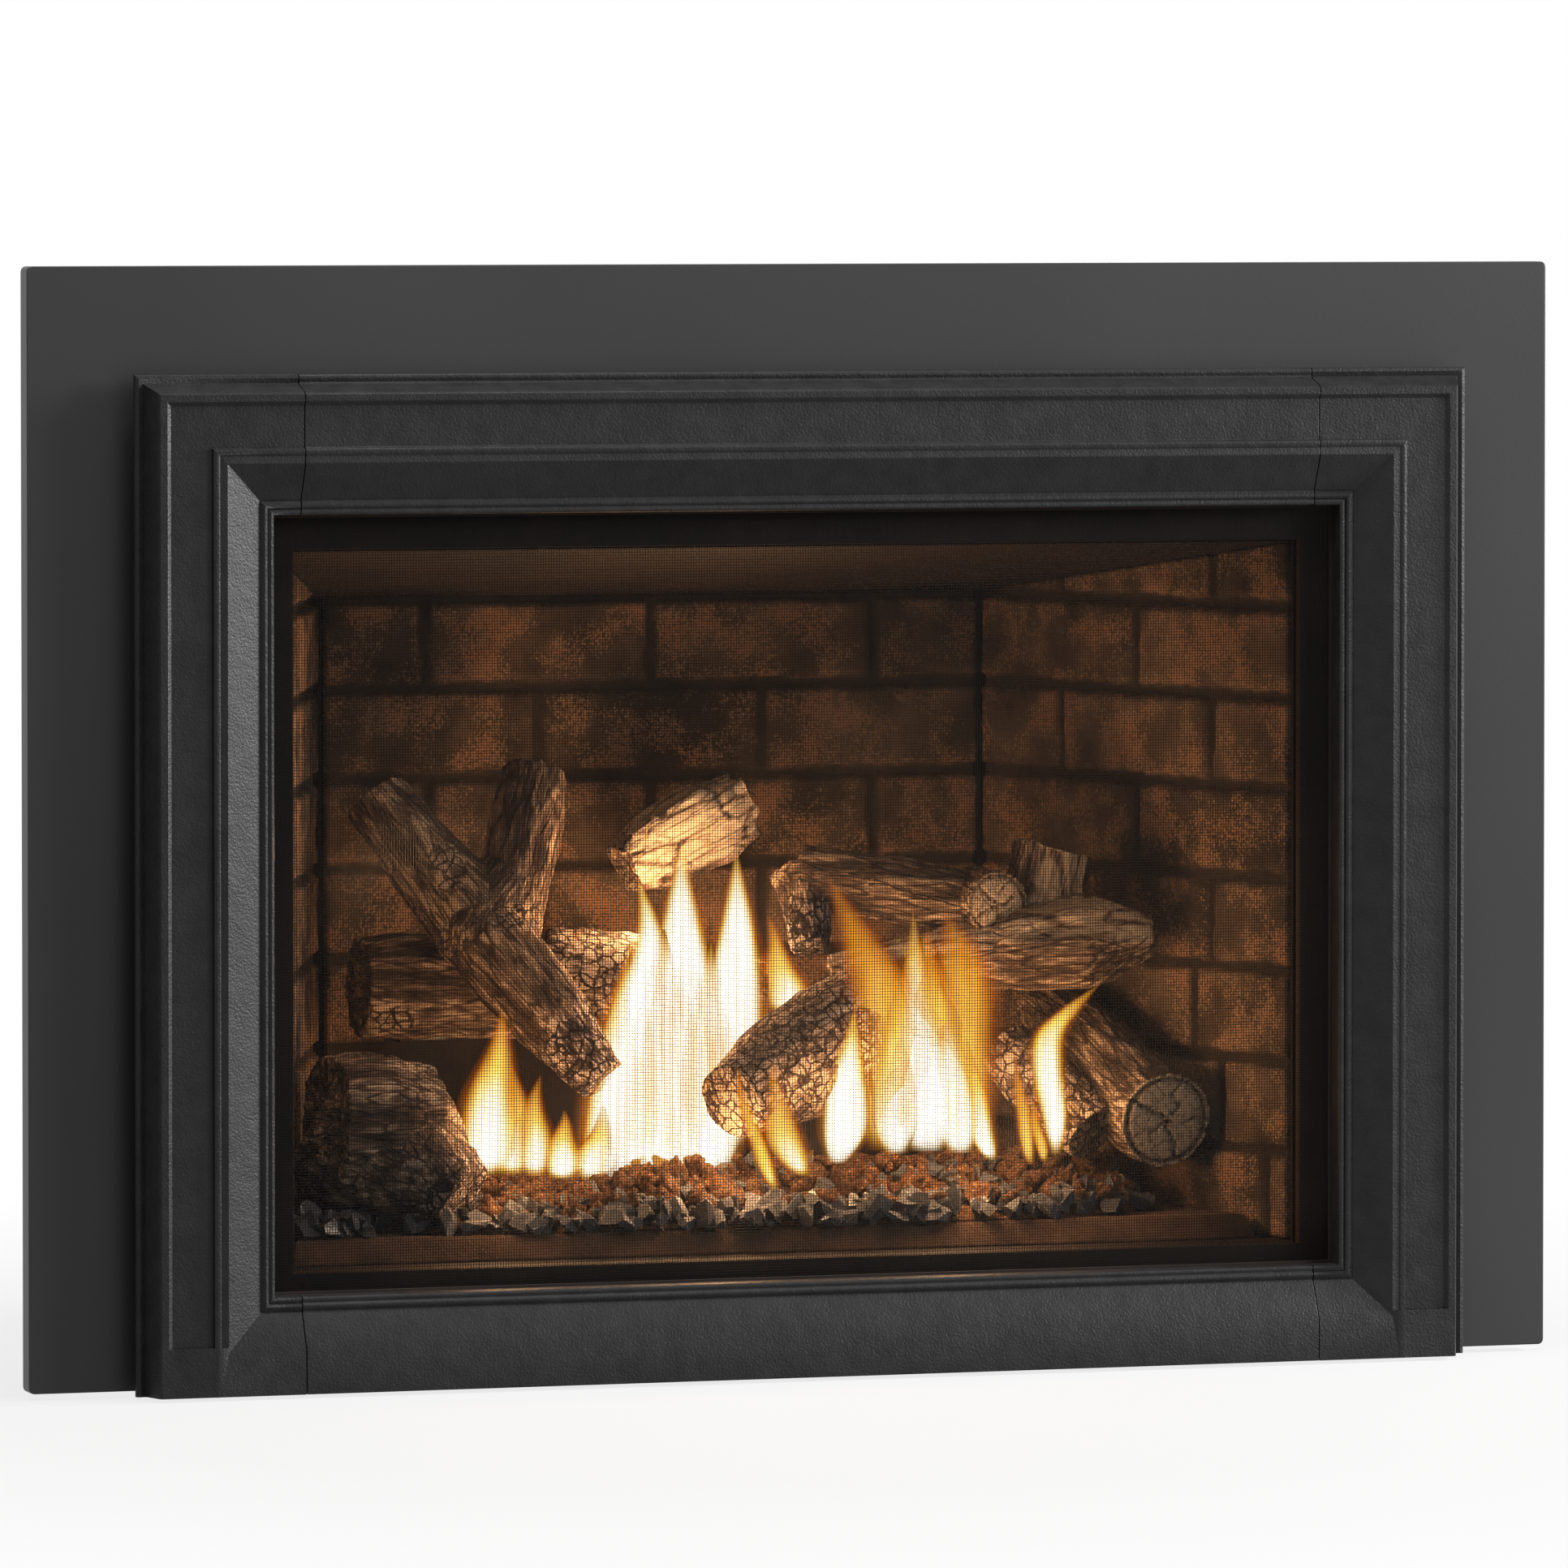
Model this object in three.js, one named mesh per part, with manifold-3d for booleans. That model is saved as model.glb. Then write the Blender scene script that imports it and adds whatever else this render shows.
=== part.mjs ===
// Direct-vent gas fireplace insert: a four-piece cast-iron front with a wire barrier
// screen, hung in front of a steel surround; behind it the glass, a brick-lined firebox
// with ceramic logs, the burner and its controls, a blower and two vent collars.
// Millimetres. +X right, +Y back into the chimney, +Z up. The origin is on the
// underside of the base plate, in the plane of the surround's front face.
import * as THREE from "three";
import { mergeVertices } from "three/addons/utils/BufferGeometryUtils.js";
import Module from "manifold-3d";

const wasm = await Module();
wasm.setup();

// Fits
const gap = 0.3; // between pieces that touch
const runningGap = 0.6; // between pieces that move past each other
const sheet = 2; // steel sheet

// Surround panel
const surroundWidth = 1200;
const surroundTop = 838;
const surroundBottom = 4;
const surroundReturn = 19; // depth of its folded edge
const surroundCorner = 4;
const surroundLap = 42; // hidden behind the castings, each side

// Cast-iron front, measured inward from its outer edge
const castWidth = 1049;
const castTop = 758;
const castBottom = 2;
const castWall = 6;
const frontDepth = 45; // front plane to surround face
const lipDepth = 26; // outer bead to surround face
const castBack = 21; // back edge to surround face
const lipWidth = 6;
const coveWidth = 8.5;
const outerFillet = 5.3;
const stepWidth = 3.2;
const recessWidth = 31;
const recessDepth = 2.6;
const beadWidth = 6;
const innerFillet = 5.5;
const bevelWidth = 26.8;
const bevelDrop = 13;
const grooveWidth = 2.5;
const lipBead = 5; // each of the two beads round the window
const returnDepth = 17; // back edge of the window's return
const bottomFlat = 32.5; // plain face under the bottom bevel
const recessFoot = 4; // side recess ends this far above that face
const mitreLap = 0.1; // overlap at the mitred corners of the pattern
const cornerLength = 125; // of top and bottom rail cast with each side
const seamGap = 0.6;

// Barrier screen and its frame
const screenFrameWidth = 24;
const screenFrameFoot = 6;
const screenFrameThick = 3;
const screenRim = 2; // frame edge that shows inside the window
const screenThick = 0.8;
const screenWire = 1.2;
const screenColumns = 12;
const screenRows = 8;
const screenLap = 6;
const footHeight = 24; // stand-off feet of the screen frame, against the surround
const footZ = 105;

// Joining plates and hooks
const plateLength = 60;
const plateHeight = 34;
const plateThick = 3;
const hookWidth = 24;
const hookArm = 8;
const hookFoot = 16;
const hookAngle = 20 * Math.PI / 180; // the ramp that the front slides up
const rampLength = 26;
const rampThick = 4;
const rampRise = 30; // from the window's top edge to the ramp's low end

// Glass
const glassInsetSide = 21.7; // glass opening inside the window's edge
const glassInsetFoot = 14.2;
const glassInsetTop = 26.2;
const glassFrameWidth = 30;
const glassFrameRise = 4; // front of the frame to the surround face
const glassThick = 4.7;
const glassLip = 6;
const gasketThick = 2.4;
const gasketWidth = 12;

// Firebox
const floorDrop = 1; // floor below the glass opening
const wallClear = 1; // brick face outside the glass opening
const wallFrontY = 31;
const wallDepth = 347;
const wallInset = 125; // narrower at the back, each side
const brickThick = 20;
const brickRelief = 4;
const brickLength = 184;
const coursePitch = 69.9;
const courseDrop = 2.7; // first joint below the floor
const joint = 9;
const baffleDrop = 3; // front of the baffle below the top of the glass opening
const baffleFall = 48; // from its front to its back
const warmAirGap = 30; // firebox top to casing top
const frontFrameApron = 42; // front frame below the glass opening
const airWindowHalf = 235; // under the firebox floor, in the rear of its wrap

// Outer casing
const casingSetback = 42.5; // inside the surround's opening, each side
const casingTopDrop = 26; // below the surround's opening
const casingStraight = 130;
const casingInset = 110; // narrower at the back, each side
const rearChannel = 42.7; // air space behind the firebox
const baseToe = 8; // base plate in front of the surround face
const flangeLap = 14; // face frame behind the surround
const flangeInset = 4;

// Vent collars
const collarRadius = 36.5; // bore, 76 mm outside for a 3 inch liner
const collarWall = 1.5;
const collarHeight = 50;
const collarFlange = 12;
const roundSides = 48;
const collarX = 90;
const collarY = 250;

// Burner
const trayHeight = 18;
const trayFront = 50;
const traySlope = 14;
const trayBack = 310;
const traySideGap = 8;
const emberFront = 64;
const emberBack = 225;
const emberLeft = 335;
const emberRight = 335;
const emberDrop = 84.4; // top of the embers below the rear shelf
const venturiX = 120;
const venturiZ = 50;
const venturiRadius = 13;
const venturiFront = 70;
const venturiBack = 185;
const venturiWall = 1.5;
const riserRadius = 11;
const riserGap = 2; // riser to the hole in the firebox floor
const shutterLength = 30;
const shutterWall = 2;
const rodRadius = 2.5;
const rodTip = 2;
const shelfY = 345;
const shelfRise = 130.7; // above the burner tray
const shelfDepth = 45;
const shelfHalf = 230;

// Controls
const panelY = 22;
const panelThick = 1.5;
const panelLeft = 90;
const panelRight = 345;
const panelTop = 42;
const panelFoot = 18;
const panelFootGap = 4;
const controlZ = 25;
const valveX = 218;
const valveWidth = 112;
const valveDepth = 54;
const valveHeight = 50;
const controlOffsets = [-34, 0, 34]; // valve knob, flame knob, igniter button from the valve's middle
const knobRadius = 13;
const knobLength = 14;
const knobStandoff = 3;
const stemRadius = 4;
const stemDepth = 12;
const buttonRadius = 8;
const buttonTravel = 4;
const switchX = 310;
const rockerLength = 22;
const rockerWidth = 15;
const rockerTilt = 9 * Math.PI / 180;
const switchWall = 2.4;
const switchDepth = 26;
const pipeRadius = 6;
const pipeY = 70;
const pipeZ = 30;
const fittingRadius = 12;
const fittingLength = 26;
const inletRadius = 7.25; // tapped hole in the inlet fitting
const inletDepth = 12;
const feedRadius = 3.5;
const pilotX = 20;
const pilotY = 325;
const pilotHeight = 52;

// Glass latches
const latchX = 250;
const latchPivotZ = 50;
const latchWidth = 12;
const latchReach = 18;
const latchArm = 3;
const latchTab = 5;
const latchPin = 3;
const latchPinGap = 0.15;
const latchHead = 5.5;

// Blower
const blowerY = 318;
const blowerZ = 42;
const rotorRadius = 24;
const rotorLength = 250;
const rotorCentre = -70;
const bladeCount = 14;
const bladeDepth = 4;
const bladeThick = 1.2;
const endDisc = 2;
const shaftRadius = 3.5;
const scrollGap = 3;
const shaftTail = 14;
const shaftSeat = 14; // shaft inside the motor
const motorGap = 12;
const motorLength = 54;
const motorRadius = 22;

// Sizes that follow
const castHalf = castWidth / 2;
const tEdge = lipWidth + coveWidth;
const tStep = tEdge + outerFillet;
const tRecess = tStep + stepWidth;
const tBead = tRecess + recessWidth;
const tInner = tBead + beadWidth;
const tBevel = tInner + innerFillet;
const tGroove = tBevel + bevelWidth;
const tLip = tGroove + grooveWidth;
const tWindow = tLip + 2 * lipBead;
const windowHalf = castHalf - tWindow;
const windowTop = castTop - tWindow;
const bevelFoot = castBottom + bottomFlat;
const windowBottom = bevelFoot + tWindow - tBevel;
const recessBack = frontDepth - recessDepth - castWall;
const seamX = castHalf - cornerLength;
const surroundHalf = surroundWidth / 2;
const openHalf = castHalf - surroundLap;
const openTop = castTop - surroundLap;
const flangeY = sheet + gap;
const casingFront = flangeY + sheet + gap;
const glassOpenHalf = windowHalf - glassInsetSide;
const glassOpenBottom = windowBottom + glassInsetFoot;
const glassOpenTop = windowTop - glassInsetTop;
const floorTop = glassOpenBottom - floorDrop;
const wallFrontHalf = glassOpenHalf + wallClear;
const wallBackHalf = wallFrontHalf - wallInset;
const wallBackY = wallFrontY + wallDepth;
const firstCourse = floorTop - courseDrop;
const baffleFront = glassOpenTop - baffleDrop;
const baffleBack = baffleFront - baffleFall;
const casingHalf = openHalf - casingSetback;
const casingBackHalf = casingHalf - casingInset;
const casingTop = openTop - casingTopDrop;
const fireboxTop = casingTop - warmAirGap;
const casingBack = wallBackY + brickThick + gap + sheet + rearChannel + sheet;
const gasketY = glassThick + 2 * gap + flangeY + sheet;
const frontFrameY = gasketY + gasketThick + gap;
const frontFrameHalf = glassOpenHalf + glassFrameWidth + 6;
const frontFrameBottom = glassOpenBottom - frontFrameApron;
const fireboxFront = frontFrameY + sheet + gap;
const trayTop = floorTop + gap + trayHeight;
const shelfHeight = trayTop + shelfRise;

// Wall lines of the firebox, seen from above
const wallRun = Math.hypot(wallFrontHalf - wallBackHalf, wallBackY - wallFrontY);
const wallOut = [(wallBackY - wallFrontY) / wallRun, (wallFrontHalf - wallBackHalf) / wallRun];
const wallTaper = (wallFrontHalf - wallBackHalf) / (wallBackY - wallFrontY);

/** X of the side wall's brick face, moved outward by `out`, at depth y. */
function wallX(y, out = 0) {
  return wallFrontHalf - wallTaper * (y - wallFrontY) + out / wallOut[0];
}

/** Height of the baffle's underside at depth y. */
function baffleZ(y) {
  const run = (y - wallFrontY) / (wallBackY - wallFrontY);
  return baffleFront + run * (baffleBack - baffleFront);
}

/** Turns a closed geometry into a solid. */
function solid(geometry) {
  const bare = geometry.index ? geometry.toNonIndexed() : geometry.clone();
  bare.deleteAttribute("normal");
  bare.deleteAttribute("uv");
  const merged = mergeVertices(bare, 1e-4);
  const index = merged.index.array;
  const kept = [];
  for (let i = 0; i < index.length; i += 3) {
    const [a, b, c] = [index[i], index[i + 1], index[i + 2]];
    if (a !== b && b !== c && c !== a) kept.push(a, b, c);
  }
  const mesh = new wasm.Mesh({
    numProp: 3,
    vertProperties: new Float32Array(merged.attributes.position.array),
    triVerts: new Uint32Array(kept),
  });
  return new wasm.Manifold(mesh);
}

/** Turns a solid back into a geometry. */
function geometryOf(body) {
  const mesh = body.getMesh();
  const geometry = new THREE.BufferGeometry();
  geometry.setAttribute("position", new THREE.BufferAttribute(mesh.vertProperties, 3));
  geometry.setIndex(new THREE.BufferAttribute(mesh.triVerts, 1));
  geometry.computeVertexNormals();
  return geometry;
}

function join(...bodies) {
  return bodies.reduce((sum, body) => sum.add(body));
}

function cut(body, ...tools) {
  return tools.reduce((left, tool) => left.subtract(tool), body);
}

/** Box from its low and high corners, moved by `placement` if one is given. */
function box(x0, x1, y0, y1, z0, z1, placement) {
  const geometry = new THREE.BoxGeometry(x1 - x0, y1 - y0, z1 - z0);
  geometry.translate((x0 + x1) / 2, (y0 + y1) / 2, (z0 + z1) / 2);
  if (placement) geometry.applyMatrix4(placement);
  return solid(geometry);
}

const axisFrames = {
  x: [[0, 1, 0], [0, 0, 1], [1, 0, 0]],
  y: [[1, 0, 0], [0, 0, 1], [0, -1, 0]],
  z: [[1, 0, 0], [0, 1, 0], [0, 0, 1]],
};

/** Outline extruded along an axis, from low to high. The outline is given in the
 *  other two axes, in X, Y, Z order. */
function prism(axis, outline, low, high) {
  const shape = new THREE.Shape(outline.map(([u, v]) => new THREE.Vector2(u, v)));
  const geometry = new THREE.ExtrudeGeometry(shape, { depth: high - low, bevelEnabled: false });
  const [u, v, w] = axisFrames[axis].map((a) => new THREE.Vector3(...a));
  geometry.applyMatrix4(new THREE.Matrix4().makeBasis(u, v, w));
  const start = axis === "y" ? high : low;
  const shift = { x: [start, 0, 0], y: [0, start, 0], z: [0, 0, start] }[axis];
  geometry.translate(...shift);
  return solid(geometry);
}

/** Round bar between two points, its radius stepping evenly through `radii`. */
function bar(from, to, radii, sides = 16) {
  const start = new THREE.Vector3(...from);
  const end = new THREE.Vector3(...to);
  const length = start.distanceTo(end);
  const profile = [new THREE.Vector2(0, 0)];
  radii.forEach((r, i) => profile.push(new THREE.Vector2(r, length * i / (radii.length - 1))));
  profile.push(new THREE.Vector2(0, length));
  const geometry = new THREE.LatheGeometry(profile, sides);
  const along = end.clone().sub(start).normalize();
  const turn = new THREE.Quaternion().setFromUnitVectors(new THREE.Vector3(0, 1, 0), along);
  geometry.applyQuaternion(turn);
  geometry.translate(...from);
  return solid(geometry);
}

/** Plain round bar. */
function rod(from, to, radius, sides = 16) {
  return bar(from, to, [radius, radius], sides);
}

/** Tube of one radius along a smooth path. */
function tubeAlong(points, radius, steps) {
  const path = new THREE.CatmullRomCurve3(points.map((p) => new THREE.Vector3(...p)), false, "centripetal");
  const section = new THREE.Shape();
  section.absarc(0, 0, radius, 0, 2 * Math.PI, false);
  const options = { steps, curveSegments: 4, extrudePath: path, bevelEnabled: false };
  return solid(new THREE.ExtrudeGeometry(section, options));
}

/** Rectangle as an outline. */
function rectangle(u0, u1, v0, v1) {
  return [[u0, v0], [u1, v0], [u1, v1], [u0, v1]];
}

/** Rectangle with rounded corners as an outline. */
function roundedRectangle(u0, u1, v0, v1, radius, steps = 3) {
  const points = [];
  const centres = [[u1 - radius, v0 + radius], [u1 - radius, v1 - radius],
    [u0 + radius, v1 - radius], [u0 + radius, v0 + radius]];
  centres.forEach(([u, v], corner) => {
    for (let i = 0; i <= steps; i++) {
      const angle = (corner - 1 + i / steps) * Math.PI / 2;
      points.push([u + radius * Math.cos(angle), v + radius * Math.sin(angle)]);
    }
  });
  return points;
}

/** Flat ring standing upright: outer rectangle less inner rectangle. */
function uprightRing(outer, inner, y0, y1) {
  return cut(box(outer[0], outer[1], y0, y1, outer[2], outer[3]),
    box(inner[0], inner[1], y0 - 1, y1 + 1, inner[2], inner[3]));
}

/** Rounded bump in a profile: its width and height, standing on `base`. */
function bump(start, width, base, height, steps = 4) {
  const points = [];
  for (let i = 1; i < steps; i++) {
    const angle = Math.PI * i / steps;
    points.push([start + width * (1 - Math.cos(angle)) / 2, base + height * Math.sin(angle)]);
  }
  return points;
}

const finishes = {
  castIron: { color: "#2e2e2f", roughness: 0.55, metalness: 0.3 },
  surround: { color: "#404142", roughness: 0.5, metalness: 0.3 },
  blackSteel: { color: "#1b1b1c", roughness: 0.6, metalness: 0.3 },
  screenWire: { color: "#1d1c1b", roughness: 0.55, metalness: 0.4 },
  galvanised: { color: "#a3a7aa", roughness: 0.42, metalness: 0.85 },
  glass: { color: "#20201f", roughness: 0.05, metalness: 0, transparent: true, opacity: 0.25 },
  gasket: { color: "#c4bda8", roughness: 0.95, metalness: 0 },
  brick: { color: "#6b4a35", roughness: 0.92, metalness: 0 },
  bark: { color: "#5a4433", roughness: 0.95, metalness: 0 },
  splitWood: { color: "#b79774", roughness: 0.9, metalness: 0 },
  char: { color: "#3a2b23", roughness: 0.95, metalness: 0 },
  ember: { color: "#4a3426", roughness: 0.95, metalness: 0 },
  refractory: { color: "#3b3028", roughness: 0.95, metalness: 0 },
  aluminium: { color: "#b9bcc0", roughness: 0.35, metalness: 0.9 },
  brass: { color: "#b08d4a", roughness: 0.35, metalness: 0.9 },
  blackPlastic: { color: "#161617", roughness: 0.45, metalness: 0 },
};

const insert = new THREE.Group();
const frontGroup = new THREE.Group();
insert.add(frontGroup);

function place(name, body, finish, parent = insert) {
  const mesh = new THREE.Mesh(geometryOf(body), new THREE.MeshStandardMaterial(finishes[finish]));
  mesh.name = name;
  parent.add(mesh);
}

// Surround: a flat sheet with its outer edge folded back to the wall.
function surroundPanel() {
  const outer = roundedRectangle(-surroundHalf, surroundHalf, surroundBottom, surroundTop, surroundCorner);
  const inner = rectangle(-surroundHalf + sheet, surroundHalf - sheet, surroundBottom + sheet,
    surroundTop - sheet);
  const tray = cut(prism("y", outer, 0, surroundReturn), prism("y", inner, sheet, surroundReturn + 1));
  return cut(tray, box(-openHalf, openHalf, -1, surroundReturn + 1, surroundBottom - 1, openTop));
}
place("surround_panel", surroundPanel(), "surround");

// Cast front: the section of a side, as distance inward and depth in front of the surround.
function castSection() {
  const rise = frontDepth - lipDepth;
  const points = [[0, castBack], [0, lipDepth - 2]];
  points.push(...bump(0, lipWidth, lipDepth - 2, 2, 4));
  for (const u of [0, 0.25, 0.5, 0.75]) {
    points.push([lipWidth + coveWidth * (0.05 + 0.95 * u), lipDepth - 1 + (rise + 1) * u * u * (3 - 2 * u)]);
  }
  points.push([tEdge, frontDepth], [tStep, frontDepth]);
  points.push([tRecess, frontDepth - recessDepth], [tBead, frontDepth - recessDepth]);
  points.push(...bump(tBead, beadWidth, frontDepth - recessDepth / 2, recessDepth / 2 + 0.5));
  points.push([tInner, frontDepth - 0.8], [tBevel, frontDepth]);
  points.push([tGroove, frontDepth - bevelDrop]);
  const base = frontDepth - bevelDrop - 1;
  points.push([tGroove + grooveWidth / 2, base], ...bump(tLip, lipBead, base, 2));
  points.push([tLip + lipBead, base], ...bump(tLip + lipBead, lipBead, base - 1, 2));
  points.push([tWindow, base - 1.5], [tWindow, returnDepth], [tWindow - castWall, returnDepth]);
  const bevelBack = frontDepth - bevelDrop - castWall;
  points.push([tWindow - castWall, bevelBack], [tGroove, bevelBack]);
  points.push([tBevel, recessBack], [lipWidth + coveWidth + castWall, recessBack]);
  points.push([lipWidth + castWall, castBack]);
  return points;
}

/** The whole front as one frame, mitred at the corners. */
function castFrame() {
  const section = castSection();
  const fromTop = prism("x", section.map(([t, d]) => [-d, castTop - t]), -castHalf, castHalf);
  const fromSide = (side) => prism("z", section.map(([t, d]) => [side * (castHalf - t), -d]),
    castBottom, castTop);
  const foot = section.filter(([t]) => t >= tBevel);
  const bottomSection = foot.map(([t, d]) => [-d, bevelFoot + t - tBevel]);
  bottomSection.unshift([-frontDepth, castBottom]);
  bottomSection.push([-recessBack, castBottom]);
  const fromBottom = prism("x", bottomSection, -castHalf + tBevel, castHalf - tBevel);
  const far = frontDepth + 10;
  const topRegion = [[-castHalf, castTop], [-castHalf, castTop - mitreLap],
    [-windowHalf, windowTop - mitreLap], [windowHalf, windowTop - mitreLap],
    [castHalf, castTop - mitreLap], [castHalf, castTop]];
  const sideRegion = (side) => [[side * castHalf, castTop], [side * windowHalf, windowTop],
    [side * windowHalf, windowBottom], [side * (castHalf - tBevel), bevelFoot],
    [side * (castHalf - tBevel), castBottom], [side * castHalf, castBottom]];
  const bottomRegion = [[-castHalf + tBevel, castBottom], [castHalf - tBevel, castBottom],
    [castHalf - tBevel, bevelFoot + mitreLap], [windowHalf, windowBottom + mitreLap],
    [-windowHalf, windowBottom + mitreLap], [-castHalf + tBevel, bevelFoot + mitreLap]];
  const parts = [fromTop.intersect(prism("y", topRegion, -far, 0)),
    fromBottom.intersect(prism("y", bottomRegion, -far, 0))];
  for (const side of [-1, 1]) {
    parts.push(fromSide(side).intersect(prism("y", sideRegion(side), -far, 0)));
    const xs = [side * (castHalf - tStep), side * (castHalf - tBevel)].sort((a, b) => a - b);
    parts.push(box(xs[0], xs[1], -frontDepth, -recessBack, castBottom, bevelFoot + recessFoot));
    parts.push(box(xs[0] - castWall, xs[1] + castWall, -frontDepth, -recessBack, castBottom, bevelFoot)
      .intersect(box(-castHalf + tStep, castHalf - tStep, -frontDepth, 0, 0, castTop)));
  }
  return join(...parts);
}

function castings() {
  const frame = castFrame();
  const far = castHalf + 10;
  const middle = (windowTop + windowBottom) / 2;
  const inner = seamX - seamGap / 2;
  const outer = seamX + seamGap / 2;
  const across = (x0, x1, z0, z1) => frame.intersect(box(x0, x1, -far, far, z0, z1));
  place("front_left_casting", across(-far, -outer, -far, 2 * far), "castIron", frontGroup);
  place("front_right_casting", across(outer, far, -far, 2 * far), "castIron", frontGroup);
  place("front_top_rail", across(-inner, inner, middle, 2 * far), "castIron", frontGroup);
  place("front_bottom_rail", across(-inner, inner, -far, middle), "castIron", frontGroup);
}
castings();

// Barrier screen: a steel frame behind the window and a wire mesh behind that.
const screenFrameY = -(returnDepth - gap);
const screenY = screenFrameY + screenFrameThick + gap;
function screenParts() {
  const rim = screenRim;
  const inner = [-windowHalf + rim, windowHalf - rim, windowBottom + rim, windowTop - rim];
  const outer = [inner[0] - screenFrameWidth, inner[1] + screenFrameWidth,
    inner[2] - screenFrameFoot, inner[3] + screenFrameWidth];
  const frameBack = screenFrameY + screenFrameThick;
  const feet = [];
  for (const side of [-1, 1]) {
    const from = side * (outer[1] - 1);
    const to = side * (openHalf + 12);
    const heel = to - side * screenFrameThick;
    feet.push(box(Math.min(from, to), Math.max(from, to), screenFrameY, frameBack, footZ, footZ + footHeight));
    feet.push(box(Math.min(heel, to), Math.max(heel, to), screenFrameY, -gap, footZ, footZ + footHeight));
  }
  const ring = uprightRing(outer, inner, screenFrameY, frameBack);
  place("screen_frame", join(ring, ...feet), "blackSteel", frontGroup);
  const half = windowHalf - rim + screenLap;
  const low = windowBottom + rim - screenLap;
  const high = windowTop - rim + screenLap;
  const wires = [];
  for (let column = 0; column <= screenColumns; column++) {
    const x = -half + (2 * half - screenWire) * column / screenColumns;
    wires.push(box(x, x + screenWire, screenY, screenY + screenThick, low, high));
  }
  for (let row = 0; row <= screenRows; row++) {
    const z = low + (high - low - screenWire) * row / screenRows;
    wires.push(box(-half, half, screenY, screenY + screenThick, z, z + screenWire));
  }
  place("barrier_screen", join(...wires), "screenWire", frontGroup);
}
screenParts();

// Joining plates bridge the upper seams and carry the hooks. The screen frame bridges
// the lower seams.
const rampFrontY = -1;
const rampLow = windowTop + rampRise;
const rampZ = (y) => rampLow + (rampFrontY - y) * Math.tan(hookAngle);
function joiningPlates() {
  const y0 = -recessBack + gap;
  const middle = castTop - (tRecess + tBead) / 2;
  for (const side of [-1, 1]) {
    const name = side < 0 ? "left" : "right";
    const x0 = side * seamX - plateLength / 2;
    const x1 = x0 + plateLength;
    const half = plateHeight / 2;
    const footBack = rampFrontY - gap;
    const footFront = footBack - hookFoot;
    const armLow = rampZ(footFront) + 8;
    const hook = [[y0, armLow], [footFront, armLow], [footFront, rampZ(footFront) + gap],
      [footBack, rampZ(footBack) + gap], [footBack, armLow + hookArm], [y0, armLow + hookArm]];
    const plate = box(x0, x1, y0, y0 + plateThick, middle - half, middle + half);
    const hookX = side * seamX;
    const arm = prism("x", hook, hookX - hookWidth / 2, hookX + hookWidth / 2);
    place("joining_plate_" + name, join(plate, arm), "galvanised", frontGroup);
  }
}
joiningPlates();

function hangerBrackets() {
  const tip = rampFrontY - rampLength;
  const back = flangeY - gap;
  const profile = [[back, rampZ(back) - rampThick], [back, openTop - 2], [rampFrontY, openTop - 2],
    [rampFrontY, rampLow], [tip, rampZ(tip)], [tip, rampZ(tip) - rampThick],
    [rampFrontY, rampLow - rampThick]];
  for (const side of [-1, 1]) {
    const name = side < 0 ? "left" : "right";
    const x = side * seamX;
    place("hanger_bracket_" + name, prism("x", profile, x - hookWidth / 2, x + hookWidth / 2),
      "galvanised");
  }
}
hangerBrackets();

// Outer casing: flange, bent wrap, top and base.
function casingOutline(inset, front) {
  const slope = (casingHalf - casingBackHalf) / (casingBack - casingStraight);
  const slant = inset * (Math.hypot(1, slope) - slope);
  return [[casingHalf - inset, front], [casingHalf - inset, casingStraight - inset * slope / 2],
    [casingBackHalf - slant, casingBack - inset], [-casingBackHalf + slant, casingBack - inset],
    [-casingHalf + inset, casingStraight - inset * slope / 2], [-casingHalf + inset, front]];
}

function pipeHole(x0, x1) {
  return rod([x0, pipeY, pipeZ], [x1, pipeY, pipeZ], pipeRadius + runningGap * 2);
}

const flangeHalf = openHalf + flangeLap;
const flangeTop = openTop + flangeLap;
function casingParts() {
  const outerFrame = [-flangeHalf, flangeHalf, surroundBottom + sheet, flangeTop];
  const inner = [-casingHalf + flangeInset, casingHalf - flangeInset, surroundBottom + sheet + flangeInset,
    casingTop + flangeInset];
  place("face_frame", uprightRing(outerFrame, inner, flangeY, flangeY + sheet), "galvanised");
  const low = sheet + gap;
  const shell = cut(prism("z", casingOutline(0, casingFront), low, casingTop),
    prism("z", casingOutline(sheet, casingFront - 1), low - 1, casingTop + 1));
  place("casing_wrap", cut(shell, pipeHole(casingHalf - 10, casingHalf + 10)), "galvanised");
  const top = casingTop + gap;
  const hole = (x, r) => rod([x, collarY, top - 5], [x, collarY, top + 10], r, 32);
  place("casing_top", cut(prism("z", casingOutline(0, casingFront), top, top + sheet),
    hole(collarX, collarRadius + collarWall + runningGap), hole(-collarX, collarRadius)), "galvanised");
  place("base_plate", prism("z", casingOutline(0, -baseToe), 0, sheet), "galvanised");
}
casingParts();

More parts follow.
